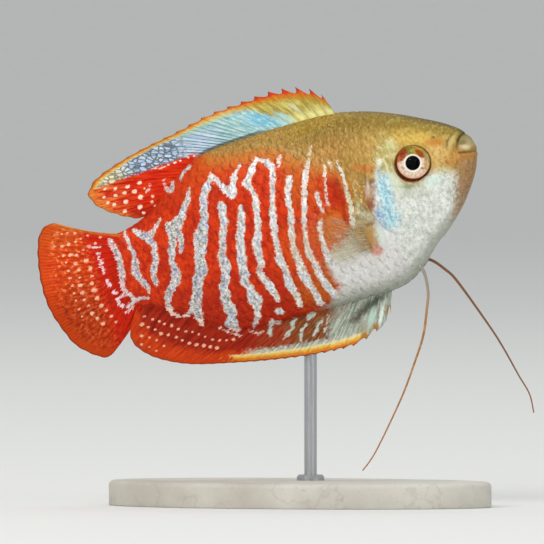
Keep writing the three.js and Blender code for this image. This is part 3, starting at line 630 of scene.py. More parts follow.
def paint_skin(own):
    """The fish's colours, the same on its skin and on its scales."""
    speck = own.noise(own.place, 2.6, 5.0, 0.65)
    fleck = own.noise(own.place, 0.8, 3.0, 0.5)
    flake = own.node("TexVoronoi", {"feature": "F1"}, {"Vector": own.place, "Scale": 3.3}, "Color")
    flake = own.node("RGBToBW", {}, {"Color": flake})
    tall = own.node("Mapping", {}, {"Vector": own.place, "Scale": (1.0, 1.0, 0.22)})
    hair = own.noise(tall, 3.4, 3.0, 0.55)
    loose = own.node("Mapping", {}, {"Vector": own.place, "Scale": (1.0, 1.0, 0.45)})
    curl = own.noise(loose, 2.0, 4.0, 0.6)
    level = own.own("level")
    soft = (speck + curl) * 0.5
    # Back and head above: gold that darkens to olive brown toward the top edge as painted shade, where
    # the body rounds over away from the light
    # painted shade: darkening toward the rounded top edge of back and head
    edge = (level + own.wobble * 0.07).step(0.48, 0.9)
    strands = own.station.step(11, 20) * 0.4
    tone = own.coats("b08a45", [
        (fleck.step(0.35, 0.65), "c49c54"),
        (24, 8, 7, 3.4, 0, 0.5, 0.6, 1, "be9150"),
        (22.6, 7.8, 3, 2, 0, 0.7, 0.6, 0.5, "c6863e"),
        (19.2, 4.2, 2.2, 3, 0, 0.5, 0.6, 0.8, "ab853a"),
        (13.4, 6.4, 4, 1.7, 26, 0.6, 0.6, 0.6, "caa355"),
        (8.4, 5, 3.4, 1.5, 28, 0.6, 0.6, 0.95, "d8b456"),
        (3.9, 3.9, 2.6, 1, 38, 0.5, 0.6, 1, "c3a558"),
        (5.5, 0.7, 1.6, 2.3, 0, 0.5, 0.6, 1, "dab26c"),
        (3.6, -0.9, 1.6, 1.3, 0, 0.5, 0.6, 0.9, "c48f46"),
        (2.2, -2.4, 1.4, 2.2, 35, 0.6, 0.6, 0.9, "aa865a"),
        # painted shade along the top edge of back and head, darkest over the head
        (edge * 0.85, "86702a"),
        ((level + own.wobble * 0.04).step(0.84, 1.0) * own.station.step(12, 6) * 0.75, "4a3f1c"),
        ((level + own.wobble * 0.04).step(0.9, 1.0) * 0.45, "5a4c20"),
        (26, 12.6, 9, 1.6, 0, 0.6, 0.6, 0.75, "b6963c"),
        (38.5, 13, 5.5, 0.9, 0, 0.5, 0.6, 0.6, "a8834c"),
        (own.station.step(26, 30) * level.step(0.55, 0.8) * 0.7, "b98f4c"),
        (hair.step(0.52, 0.4) * strands, "75501c"),
        (hair.step(0.54, 0.66) * strands, "dcb678"),
        (soft.step(0.5, 0.41) * 0.42, "80601e"),
        (soft.step(0.51, 0.61) * own.station.step(22, 9) * own.height.step(-1, 1) * 0.3, "ecd284"),
        (fleck.step(0.56, 0.66) * own.station.step(18, 10) * level.step(0.3, 0.6) * 0.4, "93963e"),
    ])
    # Behind the eye and on the gill cover: pale green and white curls over olive and orange
    behind = own.patch(13.7, 1.9, 1.5, 3.7, 8, 0.6, 1.1)
    flank = own.patch(19.8, -3, 1.9, 4.6, 4, 0.6)
    tone = own.coats(tone, [
        (12.2, 4.6, 0.9, 0.9, 0, 0.6, 0.9, 0.7, "ccd09c"),
        (behind * 0.6, "b5ae6c"),
        (behind * curl.step(0.48, 0.62) * 0.65, "dce0bc"),
        (behind * curl.step(0.47, 0.38) * 0.5, "8f8a4a"),
        (14.6, 2.7, 0.45, 0.6, 0, 0.7, 0.9, 0.8, "e6e6d2"),
        (17.3, 2.5, 2.3, 0.6, 23, 0.7, 0.9, 0.8, "bd702a"),
        (18.4, 0.9, 1.3, 1, 0, 0.6, 0.9, 0.6, "8c6e34"),
        (19.3, -1, 0.65, 3.3, 2, 0.6, 0.9, 0.8, "b88c42"),
        (19.9, -3.2, 0.5, 1.7, 0, 0.6, 0.9, 0.65, "b7b48c"),
        (20.4, 0.2, 0.38, 1.9, 0, 0.5, 0.8, 0.9, "b8721e"),
        (18.8, -2.4, 0.34, 1.8, 8, 0.6, 0.9, 0.75, "b07236"),
        (19.6, -4.9, 1.5, 1.4, 0, 0.6, 0.9, 0.8, "b5b193"),
        (flank * soft.step(0.51, 0.43) * 0.55, "76693c"),
        (flank * soft.step(0.52, 0.6) * 0.6, "e2dfc4"),
    ])
    # Cheek, breast and belly
    pale = own.own("pale") + own.wobble * 0.8 + own.grain * 0.3
    calm = own.station.step(19, 13) * 0.2 + 0.25
    cheek = own.coats("e6e9e0", [
        ((own.station + own.wobble * 1.5).step(12, 19), "dddad8"),
        (fleck.step(0.56, 0.4) * calm, "bfc2be"),
        (soft.step(0.52, 0.4) * calm, "9ba59b"),
        (soft.step(0.53, 0.62) * (calm + 0.15), "ffffff"),
    ])
    tone = own.coats(tone, [
        (pale.step(-1.1, 0.9), cheek),
        (24.6, -8.6, 3.2, 1.9, -10, 0.6, 0.9, 0.85, "cbc6b4"),
        (11.5, -3.2, 2.6, 1.1, 14, 0.8, 1.1, 0.45, "aeb398"),
        (11.5, -2.35, 1.7, 0.28, 16, 0.7, 0.9, 0.7, "8e9670"),
        (7.6, -2.7, 1.5, 0.8, 8, 0.6, 0.9, 0.6, "d6ece0"),
        (12.9, -0.8, 0.9, 1.6, 0, 0.6, 0.9, 0.7, "d3dcbc"),
        (5.6, -1.7, 1.2, 0.5, 18, 0.8, 0.9, 0.7, "d2d09c"),
        (4.9, -4.6, 0.6, 2.2, 24, 0.8, 0.9, 0.5, "b4b8a8"),
    ])
    # Toward the belly's lower edge (laid on below by level): grey green and mottled, partly its own
    # colour and partly painted shade where the body curves under
    low = own.coats("967450", [
        ((own.station + own.wobble).step(5, 9), "989e90"),
        (soft.step(0.5, 0.42) * own.station.step(14, 20) * 0.6, "7d8272"),
    ])
    # The throat's brown-pink band along its edge: partly its own colour, partly painted shade where the
    # throat turns under
    throat = own.patch(3.4, -4.9, 0.95, 4.4, 36, 0.6)
    jaw = own.station.step(7.5, 5) * own.height.step(0, -1)
    tone = own.coats(tone, [
        ((level + own.wobble * 0.05).step(-0.78, -1.0) * 0.85, low),
        (throat * 0.9, own.mix(own.height.step(-4, -7), "9c7850", "a08870")),
        (4, -4.7, 0.5, 0.9, 36, 0.7, 0.6, 0.5, "b2806c"),
        (jaw * soft.step(0.5, 0.42) * 0.4, "78583a"),
        (jaw * soft.step(0.52, 0.6) * 0.3, "cdb088"),
    ])
    # Blue gill plate, the pink slit behind it, and the root of the breast fin
    blue = own.patch(15.2, -2.9, 1.05, 3.9, 4, 0.6, 1.0)
    blue = blue.larger(own.patch(15.9, -5.9, 1.7, 2.1, 0, 0.6, 1.0))
    tint = own.coats("8fcbe0", [
        (curl.step(0.4, 0.6), "b4e2ea"),
        (speck.step(0.52, 0.64) * 0.6, "e4f7f4"),
        (soft.step(0.51, 0.42) * 0.65, "7fa0ac"),
    ])
    violet = own.patch(17.1, -5.3, 0.6, 1.3, 0, 0.8, 1.0)
    tone = own.coats(tone, [
        (blue * 0.9, tint),
        (violet * 0.7, own.mix(soft.step(0.44, 0.58), "7f90b4", "b4c8e2")),
        (16.8, -1, 0.5, 1.3, 10, 0.7, 0.9, 0.6, "9b8580"),
        (16.8, 0.2, 0.6, 0.4, 30, 0.7, 0.9, 0.7, "664a34"),
        (17.7, -0.7, 0.32, 1.3, 20, 0.7, 0.9, 0.85, "e0cac2"),
        (17.9, -3.2, 0.55, 1, 8, 0.7, 0.9, 0.85, "944c3c"),
        (18.3, -8.3, 0.7, 1.3, 0, 0.7, 0.9, 0.6, "d0e4d4"),
        (20.1, -8.2, 1.1, 2.2, 6, 0.9, 0.9, 0.9, "b0864e"),
        (19.5, -10.3, 0.7, 0.9, 0, 0.9, 0.9, 0.75, "cf7c66"),
        (19.3, -5.95, 0.8, 0.35, 0, 0.7, 0.9, 0.7, "6a5a3c"),
    ])
    # Red field
    red = own.own("red") + own.wobble * 0.9 + own.grain * 0.4
    red_back = own.patch(48.6, 10.4, 5.2, 1.8, -30, 0.6)
    red = red + red_back * 1.6
    high = (own.height - own.station * 0.06 + own.wobble * 1.2).step(3.0, 9.5)
    deep = (own.height * -1 + own.station * 0.12 + own.wobble * 1.5).step(9, 18)
    upper_edge = red.step(2.6, 0.5) * own.height.step(1.5, 4) * own.station.step(45, 41)
    field = own.coats("dc3a08", [
        (fleck.step(0.38, 0.62), "bc2808"),
        (high * 0.7, "d8540c"),
        (deep * 0.65, "981806"),
        (27.6, 4.6, 3, 4.6, 8, 0.6, 0.6, 0.75, "c9621c"),
        (25.2, -5, 2.8, 3, 0, 0.5, 0.6, 0.95, "cd7024"),
        (31, -7, 4, 4.5, 0, 0.7, 0.6, 0.6, "d2581a"),
        (22.6, 1, 0.9, 3.2, 0, 0.5, 0.6, 0.9, "ab2a04"),
        (22.5, -3.8, 0.5, 1.6, 0, 0.5, 0.6, 0.8, "a82c08"),
        (41, 11.4, 6, 1.4, 0, 0.6, 0.6, 0.7, "cf500c"),
        (red_back * 0.7, "cc3010"),
        (upper_edge * 0.9, "c57a30"),
        (30.5, -13, 4, 2.5, 0, 0.6, 0.6, 0.8, "c2601a"),
        (hair.step(0.52, 0.38) * 0.35, "941606"),
        (speck.step(0.54, 0.66) * 0.25, "ee6a1c"),
    ])
    tone = own.mix(red.step(-1.0, 0.7), tone, field)
    # Silver bars, blue grey and netted in the middle, cream at the edge, pinkish toward the tail
    silver = own.own("silver") + own.wobble * 0.26 + own.grain * 0.2 + (flake - 0.5) * 0.26
    silver = silver - own.station.step(30, 22) * 0.1
    blues = own.station.step(34, 46) * 0.55 + 0.15
    dusky = own.station.step(33, 44) * 0.4 + 0.4
    slanted = own.node("Mapping", {"vector_type": "TEXTURE"}, {
        "Vector": own.place, "Rotation": (0, math.radians(40), 0), "Scale": (0.62, 1.0, 0.26),
    })
    netted = own.node("TexVoronoi", {"feature": "DISTANCE_TO_EDGE"}, {
        "Vector": slanted, "Scale": 1.0, "Randomness": 1.0,
    }, "Distance")
    mesh_line = (netted + own.grain * 0.05).step(0.13, 0.03) * own.station.step(38, 50)
    bright = own.coats("ccd0d2", [
        (own.station.step(50, 60), "d6c6d0"),
        (fleck.step(0.52, 0.62) * blues, "adc4e8"),
        (fleck.step(0.46, 0.36) * 0.6, "d6d6bc"),
        (31, -5.5, 3.4, 3.6, 0, 0.6, 0.6, 0.7, "d3ba9a"),
        (21.1, -1.5, 0.7, 4, 0, 0.5, 0.6, 0.8, "c2c294"),
        (34.4, -13.6, 2.2, 1.6, 0, 0.6, 0.6, 0.6, "ded8be"),
        ((soft + flake * 0.12).step(0.56, 0.64) * 0.8, "fbfbf8"),
        ((soft + flake * 0.12).step(0.55, 0.46) * dusky, "65707a"),
        (mesh_line * 0.6, "665a62"),
        (silver.step(0.26, 0.04) * 0.5, "eed2be"),
        (22.6, 0.5, 2.6, 6, 0, 0.6, 0.6, 0.5, "c6c4a4"),
        (25.2, 7.6, 1.3, 1.8, 0, 0.7, 0.6, 0.75, "b09c74"),
    ])
    cover = silver.step(-0.17, 0.06)
    tone = own.coats(tone, [
        (silver.step(-0.4, -0.05) * own.own("red").step(0, 1) * 0.3, "b8481e"),
        (cover * 0.97, bright),
    ])
    # Brow and lips; the dark rim round the eye, partly painted shade at the socket's edge; and painted
    # shade in the lip folds, the nostrils and the mouth's groove
    eye_rim_and_shade_tone = own.mix(own.height.step(1.6, 3.2), "6a2a10", "6a5f22")
    # painted shade in the mouth's groove, dark brown
    mouth_shade_tone = own.mix(own.station.step(0.8, 2.0), "5c481e", "845026")
    tone = own.coats(tone, [
        (5.5, 2.95, 1.2, 0.6, 12, 0.7, 0.9, 0.8, "c47c2c"),
        (3.15, 2.2, 0.3, 1.3, 38, 0.6, 0.4, 0.8, "cfba78"),
        (1.2, 1.7, 1.1, 1, 20, 0.5, 0.6, 0.8, "968a5e"),
        (0.8, 1.1, 0.7, 0.8, 10, 0.6, 0.4, 0.7, "b2a476"),
        # pale cream on the lower swell of the upper lip, partly its own colour and partly a painted
        # highlight
        (1.55, 0.8, 0.75, 0.32, 14, 0.7, 0.5, 0.9, "dccca4"),
        (2.2, 0.75, 0.35, 0.3, 0, 0.7, 0.4, 0.7, "c29468"),
        (1.6, 1.6, 0.5, 0.35, 20, 0.7, 0.4, 0.6, "74663e"),
        (1.6, -0.8, 1.5, 0.45, -4, 0.7, 0.4, 0.8, "b27c3c"),
        (0.4, 0.1, 0.45, 0.4, 0, 0.7, 0.4, 0.6, "8a7a4c"),
        (1.2, 3.2, 1.2, 0.3, 40, 0.7, 0.6, 0.6, "564a24"),
        # the eye's dark rim, partly painted shade at the socket's edge
        (own.own("rim"), eye_rim_and_shade_tone),
        # painted shade in the lip folds and the nostrils
        (own.own("crease_shade") * 0.95, "463812"),
        # painted shade in the mouth's groove
        (own.own("mouth_shade") * 0.85, mouth_shade_tone),
    ])
    return tone, speck, cover


skin_tone, skin_speck, skin_silver = paint_skin(skin_paint)
scale_edge = skin_paint.own("edge")
skin_tone = skin_paint.mix(scale_edge.step(0.88, 1.0) * 0.04, skin_tone, "5a3a20")
grain_height = skin_paint.grain * 0.4 + skin_speck * 0.8
skin_material = skin_paint.surface(
    Base_Color=skin_tone,
    Roughness=0.5 - skin_silver * 0.08,
    Metallic=skin_silver * 0.1 + 0.22,
    Coat_Weight=0.06,
    Coat_Roughness=0.2,
    Specular_IOR_Level=0.12,
    Normal=skin_paint.bump(grain_height, 0.00008, 0.45),
)

ring_spans = [(0, 5, 62), (5, 20, 118), (20, stem_end, 96)]  # from, to, number of rings
nose_rings, tail_rings, skin_turns = 12, 4, 300
nose_middle, nose_bulge, tail_bulge = 0.3, 0.08, -0.5  # of the closed ends
snout_inset = 0.27
stations = np.concatenate([np.linspace(a, b, n, endpoint=False) for a, b, n in ring_spans])
stations = np.concatenate([np.zeros(nose_rings), stations, np.full(tail_rings + 1, stem_end)])
shrink = np.ones(len(stations))
shrink[:nose_rings] = np.linspace(0, 1, nose_rings, endpoint=False)
shrink[-tail_rings:] = np.linspace(1, 0, tail_rings + 1)[1:]


def skin_place(u, v):
    ring = u * (len(stations) - 1)
    index = np.arange(len(stations))
    station = np.interp(ring, index, stations)
    size = np.interp(ring, index, shrink)
    height, across = section(station, v * math.tau)
    middle = np.where(station < 1, nose_middle, 0)
    bulge = np.where(station < 1, nose_bulge, tail_bulge) * np.sqrt(1 - size**2)
    bulge = bulge - snout_inset * (1 - soft_step(station, 0, 2.2))
    return (bulge - station, size * across, middle + size * (height - middle)), {}


skin_mesh = net("skin", len(stations) - 1, skin_turns, skin_place)
skin_at = points(skin_mesh)
skin_out = points(skin_mesh, "normal")
skin_station, skin_height = -skin_at[:, 0], skin_at[:, 2]
_, skin_ahead = gill_cover(skin_station, skin_height)
sunk = coat_depth * soft_step(skin_ahead, 0.4, -0.2)
raised = relief(skin_station, skin_height) + face_detail(skin_station, skin_height) - sunk
set_points(skin_mesh, skin_at + skin_out * raised[:, None])
markings(skin_mesh, skin_station, skin_height, skin_at[:, 1] > 0)


rim_radius, rim_widening = 2.9, 0.12  # of the dark line round the eye, broader low and behind; partly the eye's own rim, partly painted shade at the socket's edge


def head_marks(mesh, station, height):
    """Keeps for the finish the eye's dark rim, partly painted shade at the socket's edge, and painted
    shade in the creases of the lips, the nostrils and the mouth's groove.
    """
    across, rise, far = station - eye_at[0], height - eye_at[1], from_eye(station, height)
    low_rear = (across - rise) / np.maximum(far, 0.1) / math.sqrt(2)
    outer = rim_radius + rim_widening * low_rear
    keep(mesh, "rim", soft_step(far, outer + 0.14, outer - 0.06) * (0.6 + 0.4 * low_rear))
    # Painted shade along the mouth's groove
    groove_shade = soft_step(np.abs(height - mouth_line(station)), 0.3, 0.04)
    groove_shade = groove_shade * (1 - soft_step(station, 2.5, 2.9)) * (0.4 + 0.6 * soft_step(station, 0.4, 2.2))
    # Painted shade in the fold behind the lip, the furrow above it, and the nostrils
    far, share = beside_all(station, height, lip_fold)
    over = np.exp(-((far / 0.27) ** 2)) * (0.35 + 0.65 * np.sin(math.pi * share))
    far, share = beside_all(station, height, furrows[1][2])
    over = np.maximum(over, np.exp(-((far / 0.22) ** 2)) * 0.6 * np.sin(math.pi * share))
    holes = sum(
        soft_step(np.hypot(station - at, height - up), radius * 1.5, radius * 0.5)
        for (at, up), radius, _ in nostrils
    )
    keep(mesh, "crease_shade", np.clip(over + holes * 0.6, 0, 1))
    keep(mesh, "mouth_shade", groove_shade)


head_marks(skin_mesh, skin_station, skin_height)
mount("skin", skin_mesh, skin_material, ("head", "torso", "tail_stem"))

# Scales
# Thin overlapping plates in staggered rows, smaller on the head and the tail stem, each with its
# root sunk in the skin and its rounded rear edge lying over the next. They are cast with the skin.
scale_rows = 17
scale_pitch = along([(5, 0.85), (12, 1.15), (20, 1.55), (40, 1.6), (50, 1.4), (60.6, 0.95)])
scale_reach = 1.8  # length of a plate, in pitches
scale_breadth = 1.42  # its width, in rows
scale_start = 5.0  # station of the first root
scale_thick = 0.022  # in pitches
scale_proud = 0.018  # rise of its rear edge, in pitches, and what that gains behind the head
scale_gain = 0.014
scale_root = 0.04  # depth of its root in the skin
scale_droop, scale_dome = 0.035, 0.01  # fall of its sides and swell of its middle
scale_follow = 0.78  # how closely the markings run on over it; the rest it takes from one place
scale_seed = 11
profile_steps = 200  # to each way of the table of turns


def row_turns():
    """For many stations, the turn at each share of the way round from back to belly, and its length."""
    at = np.linspace(0, stem_end, profile_steps)
    turn = np.linspace(0, math.pi, profile_steps)
    table, lengths = [], []
    for station in at:
        height, across = section(np.full(profile_steps, station), turn)
        run = np.insert(np.cumsum(np.hypot(np.diff(height), np.diff(across))), 0, 0)
        table.append(np.interp(np.linspace(0, 1, profile_steps), run / run[-1], turn))
        lengths.append(run[-1])
    return np.array(table), np.array(lengths)


turn_table, girths = row_turns()


def girth(station):
    return np.interp(station, np.linspace(0, stem_end, profile_steps), girths)


def turn_at(station, share):
    """The turn of a place given by its station and its share of the way from back to belly."""
    x = np.clip(station / stem_end, 0, 1) * (profile_steps - 1)
    y = np.clip(share, 0.004, 0.996) * (profile_steps - 1)
    i, j = np.minimum(x.astype(int), profile_steps - 2), np.minimum(y.astype(int), profile_steps - 2)
    a, b = x - i, y - j
    low = turn_table[i, j] * (1 - b) + turn_table[i, j + 1] * b
    return low * (1 - a) + (turn_table[i + 1, j] * (1 - b) + turn_table[i + 1, j + 1] * b) * a


def on_skin(station, share):
    """Places on the skin's left side with the head's broad forms, and their outward directions."""
    def at(station, share):
        height, across = section(station, turn_at(station, share))
        return np.stack([-station, across, height], axis=-1)

    step = 0.15
    here = at(station, share)
    ahead = at(station + step, share) - at(station - step, share)
    down = at(station, share + 0.01) - at(station, share - 0.01)
    out = np.cross(ahead, down)
    out /= np.maximum(np.linalg.norm(out, axis=-1, keepdims=True), 1e-9)
    out *= np.sign(out[..., 1:2] + 1e-9)
    return here, out


def scale_plate():
    """One flat plate, 1 long and 1 wide, with a rounded rear edge; its underside is at -1."""
    made = bmesh.new()
    bmesh.ops.create_grid(made, x_segments=5, y_segments=4, size=0.5)
    for corner in made.verts:
        a, b = corner.co.x + 0.5, corner.co.y
        taper = 0.72 + 0.28 * math.sin(math.pi * min(a * 0.9 + 0.1, 1))
        corner.co.x = a**0.8 * (1 - 0.36 * (2 * b) ** 2)
        corner.co.y = b * taper
    bmesh.ops.solidify(made, geom=made.faces[:], thickness=1.0)
    return as_mesh(made, "scale_plate")


def many(mesh, count):
    """A mesh repeated count times, all in one mesh."""
    holder = bpy.data.objects.new("holder", mesh)
    bpy.context.collection.objects.link(holder)
    array = holder.modifiers.new("array", "ARRAY")
    array.count = count
    array.use_relative_offset = False
    array.use_constant_offset = True
    array.constant_offset_displace = (0, 0, 0)
    seen = holder.evaluated_get(bpy.context.evaluated_depsgraph_get())
    made = bpy.data.meshes.new_from_object(seen)
    bpy.data.objects.remove(holder)
    return made


def scale_roots():
    """(station, share) of every scale of one side, in staggered rows."""
    roots = []
    for row in range(scale_rows):
        share = (row + 0.5) / scale_rows
        station = scale_start + (row % 2) * 0.5 * scale_pitch(scale_start)
        while station < stem_end - 0.4:
            roots.append((station, share))
            station += float(scale_pitch(station))
    return np.array(roots)


def bare(station, height):
    """Where no scale grows: snout, throat, round the eye, and over the gill cover's edge."""
    length = scale_pitch(station) * scale_reach
    lift, ahead = gill_cover(station, height)
    _, ahead_rear = gill_cover(station + length, height)
    crossing = (ahead > -0.25) & (ahead_rear < 0.15) & (height < 7.5) & (height > -12)
    close = from_eye(station + length / 2, height) < 3.9 + length * 0.35
    face = (station < 6.5) | ((height < -5.5 - (station - 6) * 1.1) & (station < 12))
    low_face = (station < 9.5) & (height < 3.5)
    foot = np.hypot((station + length / 2 - 19.8) / 1.5, (height + 8) / 2.6) < 1
    return crossing | close | face | low_face | foot


plate_share = 0.003  # of the colour map's width, for each plate
for side_name, sign in [("right", -1), ("left", 1)]:
    luck = np.random.default_rng(scale_seed + sign)
    roots = scale_roots()
    roots[:, 0] += luck.uniform(-0.05, 0.05, len(roots))
    root_places, _ = on_skin(roots[:, 0], roots[:, 1])
    roots = roots[~bare(roots[:, 0], root_places[:, 2])]
    plate = scale_plate()
    plate_at = points(plate)
    scales_mesh = many(plate, len(roots))
    root_station, root_share = roots[:, :1], roots[:, 1:]
    length = scale_pitch(root_station) * scale_reach * luck.uniform(0.95, 1.05, root_station.shape)
    breadth = girth(root_station) / scale_rows * scale_breadth
    twist = luck.uniform(-0.05, 0.05, root_station.shape)
    a, b, under = plate_at[:, 0][None], plate_at[:, 1][None], plate_at[:, 2][None] < -0.5
    along_mm = a * length * np.cos(twist) - b * breadth * np.sin(twist)
    across_mm = a * length * np.sin(twist) + b * breadth * np.cos(twist)
    station = root_station + along_mm
    share = root_share + across_mm / girth(station)
    place, out = on_skin(np.minimum(station, stem_end), share)
    proud = scale_pitch(root_station) * luck.uniform(0.85, 1.15, root_station.shape)
    proud = proud * (scale_proud + scale_gain * soft_step(root_station, 18, 32))
    lift = -scale_root + (proud + scale_root) * a - scale_droop * (2 * b) ** 2
    lift = lift + scale_dome * np.sin(math.pi * a)
    lift = lift - np.where(under, scale_thick * scale_pitch(root_station) + 0.015, 0)
    height = place[..., 2]
    _, ahead = gill_cover(station, height)
    lift = lift + relief(np.minimum(station, stem_end), height)
    lift = lift - coat_depth * soft_step(ahead, 0.4, -0.2)
    place = place + out * lift[..., None]
    place[..., 0] -= np.maximum(station - stem_end, 0)
    place[..., 1] *= sign
    set_points(scales_mesh, place.reshape(-1, 3))
    if sign < 0:
        scales_mesh.flip_normals()
    one_height = height.mean(axis=1, keepdims=True)
    seen_station = station * scale_follow + (root_station + length * 0.7) * (1 - scale_follow)
    seen_height = height * scale_follow + one_height * (1 - scale_follow)
    markings(scales_mesh, seen_station.ravel(), seen_height.ravel(), np.full(station.size, sign > 0))
    head_marks(scales_mesh, station.ravel(), height.ravel())
    keep(scales_mesh, "edge", np.broadcast_to(a, station.shape).ravel())
    bake = scales_mesh.uv_layers.new(name="OFBake")
    spot = np.stack(np.broadcast_arrays(
        0.02 + 0.95 * root_station / stem_end + (a - 0.5) * plate_share,
        0.5 + sign * (root_share * 0.48 + b * plate_share),
    ), axis=-1).reshape(-1, 2)
    loops = np.empty(len(scales_mesh.loops), int)
    scales_mesh.loops.foreach_get("vertex_index", loops)
    bake.data.foreach_set("uv", spot[loops].ravel())
    mount(f"scales_{side_name}", scales_mesh, skin_material)

# Eyes
# Each eye is a turned ball let into its socket: a black pupil in a cream ring, a streaked iris and
# a white rim, with a clear polished cornea cast over it. The ball is painted, the cornea bare.
iris_profile = [
    (0, 0.36), (0.45, 0.35), (0.85, 0.31), (1.08, 0.24), (1.15, 0.19), (1.22, 0.24), (1.36, 0.29),
    (1.52, 0.28), (1.8, 0.23), (2.15, 0.14), (2.45, 0.02), (2.66, -0.08), (2.79, -0.28),
    (2.6, -0.95), (2.0, -1.5), (1.1, -1.9), (0, -2.0),
]  # (distance from the eye's axis, height out of the skin)
eye_steps, eye_rounding = 48, 2
cornea_profile = [
    (0, 0.62), (0.7, 0.6), (1.4, 0.5), (2.0, 0.34), (2.5, 0.1), (2.77, -0.14), (2.72, -0.24),
    (2.6, -0.1), (2.4, 0.06), (1.95, 0.26), (1.35, 0.42), (0.7, 0.51), (0, 0.53),
]


def eye_mesh(name, profile, sign):
    """A turned form set on the eye's own axis, square to the skin, keeping its places on the eye."""
    mesh = turned(name, profile, eye_steps)
    across, rise, out = points(mesh).T
    keep(mesh, "rearward", across)
    keep(mesh, "upward", rise)
    step = 0.2
    s, z = eye_at
    slope = (half_width(s + step, z) - half_width(s - step, z)) / (2 * step)
    lean = (half_width(s, z + step) - half_width(s, z - step)) / (2 * step)
    axis = np.array([slope, sign, -lean])
    axis /= np.linalg.norm(axis)
    rear = np.array([-1, 0, 0]) + axis[0] * axis
    rear /= np.linalg.norm(rear)
    up = np.cross(axis, rear)
    up *= np.sign(up[2])
    seat = np.array([-s, sign * float(half_width(s, z)), z])
    set_points(mesh, seat + across[:, None] * rear + rise[:, None] * up + out[:, None] * axis)
    if np.dot(np.cross(rear, up), axis) < 0:
        mesh.flip_normals()
    return mesh


iris_paint = Finish("painted_iris")
rearward, upward = iris_paint.own("rearward"), iris_paint.own("upward")
from_axis = (rearward * rearward + upward * upward) ** 0.5
around = iris_paint.node("CombineXYZ", {}, {
    0: rearward / (from_axis + 0.01) * 5, 1: upward / (from_axis + 0.01) * 5, 2: from_axis * 1.6,
})
streaks = iris_paint.noise(around, 1.4, 4.0, 0.65)
blots = iris_paint.noise(iris_paint.node("CombineXYZ", {}, {0: rearward, 1: upward}), 2.6, 4.0, 0.6)


def iris_patch(centre, size, turn=0):
    """1 inside a ragged oval on the iris and 0 outside it."""
    c, s = math.cos(math.radians(turn)), math.sin(math.radians(turn))
    x, y = rearward - centre[0], upward - centre[1]
    along_patch, across_patch = (x * c + y * s) / size[0], (y * c - x * s) / size[1]
    far = (along_patch * along_patch + across_patch * across_patch) ** 0.5
    return (far + (blots - 0.5) * 1.6).step(1.2, 0.75)


# The iris's outer edge, dark red brown low and behind and gold above, is partly painted shade where the
# ball sinks into its socket
low_rear = (rearward - upward) / (from_axis + 0.01) * 0.7
outer_ring_and_shade = iris_paint.mix(low_rear.step(-0.9, 0.3), "a8904a", "74300f")
iris = iris_paint.coats("eac2a4", [
    (blots.step(0.38, 0.62), "fbeadb"),
    (streaks.step(0.56, 0.7) * 0.35, "fff4ea"),
    (from_axis.step(1.9, 2.45) * 0.5, "dba478"),
    (iris_patch((-2.05, -0.75), (1.1, 0.5), 110) * 0.8, "d4a55e"),
    (upward.step(0.4, 1.4), "c39b4e"),
    (iris_patch((0.1, 2.1), (1.2, 0.65)), "7e782c"),
    (iris_patch((-0.55, 1.95), (0.45, 0.3)) * 0.7, "bcb654"),
    (iris_patch((1.4, 1.85), (1.2, 0.75), 140), "9a2c00"),
    (iris_patch((2.05, 1.3), (0.6, 0.4), 120) * 0.9, "cb6a34"),
    (iris_patch((-1.55, 1.05), (1.05, 0.45), 60), "a4520a"),
    (iris_patch((-2.3, 0.6), (1.3, 0.22), 84) * 0.85, "a2954a"),
    (iris_patch((1.7, -0.3), (0.35, 0.22), 60) * 0.5, "9a7a60"),
    (iris_patch((-1.1, -1.2), (0.3, 0.2), 40) * 0.7, "86695a"),
    (streaks.step(0.44, 0.32) * 0.35, "8a4a26"),
    ((from_axis - 2.36).size().step(0.12, 0.03) * upward.step(0.6, -0.4) * 0.6, "ecd09a"),
    ((from_axis + low_rear * 0.14).step(2.5, 2.62), outer_ring_and_shade),
    ((from_axis - low_rear * 0.05).step(1.5, 1.38), "fff8ea"),
    (from_axis.step(1.19, 1.13), "020202"),
])
iris_material = iris_paint.surface(
    Base_Color=iris,
    Roughness=0.45,
    Specular_IOR_Level=0.05,
    Normal=iris_paint.bump(streaks, 0.00005, 0.5),
)
cornea_cast = Finish("clear_cornea")
haze = cornea_cast.noise(cornea_cast.object_place(), 900.0)
cornea_material = cornea_cast.surface(
    Base_Color=(1, 1, 1, 1),
    Transmission_Weight=1.0,
    IOR=1.1,
    Roughness=haze * 0.02,
)
for side_name, sign in [("right", -1), ("left", 1)]:
    for part, profile, material in [
        ("eyeball", iris_profile, iris_material),
        ("cornea", cornea_profile, cornea_material),
    ]:
        mesh = eye_mesh(f"{part}_{side_name}", profile, sign)
        replaced = (f"eye_{side_name}",) if part == "eyeball" else ()
        piece = mount(mesh.name, mesh, material, replaced)
        smooth = piece.modifiers.new("round", "SUBSURF")
        smooth.levels = smooth.render_levels = eye_rounding

# Fins
# Upright fins on the fish's middle plane: thin membrane over raised rays, the first rays stiff
# spines whose points stand clear of the web. They are cast thin, rooted in the back, the belly and
# the tail stem, and painted on both faces.
fin_columns = 14  # to a ray
fin_rows = 76  # from the root up one face and down the other
first_fork, second_fork = 0.25, 0.125  # half spread of a soft ray's branches, in rays
spot_stretch = 1.25  # of the fins' dots, along the fish
dot_seed = 5


def smooth_line(line, share):
    """Places at shares of the length of a smooth line through a few points."""
    given = np.array([line[0], *line, line[-1]], float)
    t = np.linspace(0, len(line) - 1, 40 * (len(line) - 1) + 1)
    i = np.minimum(t.astype(int), len(line) - 2)
    f = (t - i)[:, None]
    a, b, c, d = given[i], given[i + 1], given[i + 2], given[i + 3]
    curve = b + 0.5 * f * (c - a + f * (2 * a - 5 * b + 4 * c - d + f * (3 * b - a - 3 * c + d)))
    run = np.insert(np.cumsum(np.linalg.norm(np.diff(curve, axis=0), axis=1)), 0, 0)
    return np.stack([np.interp(share * run[-1], run, part) for part in curve.T], axis=-1)


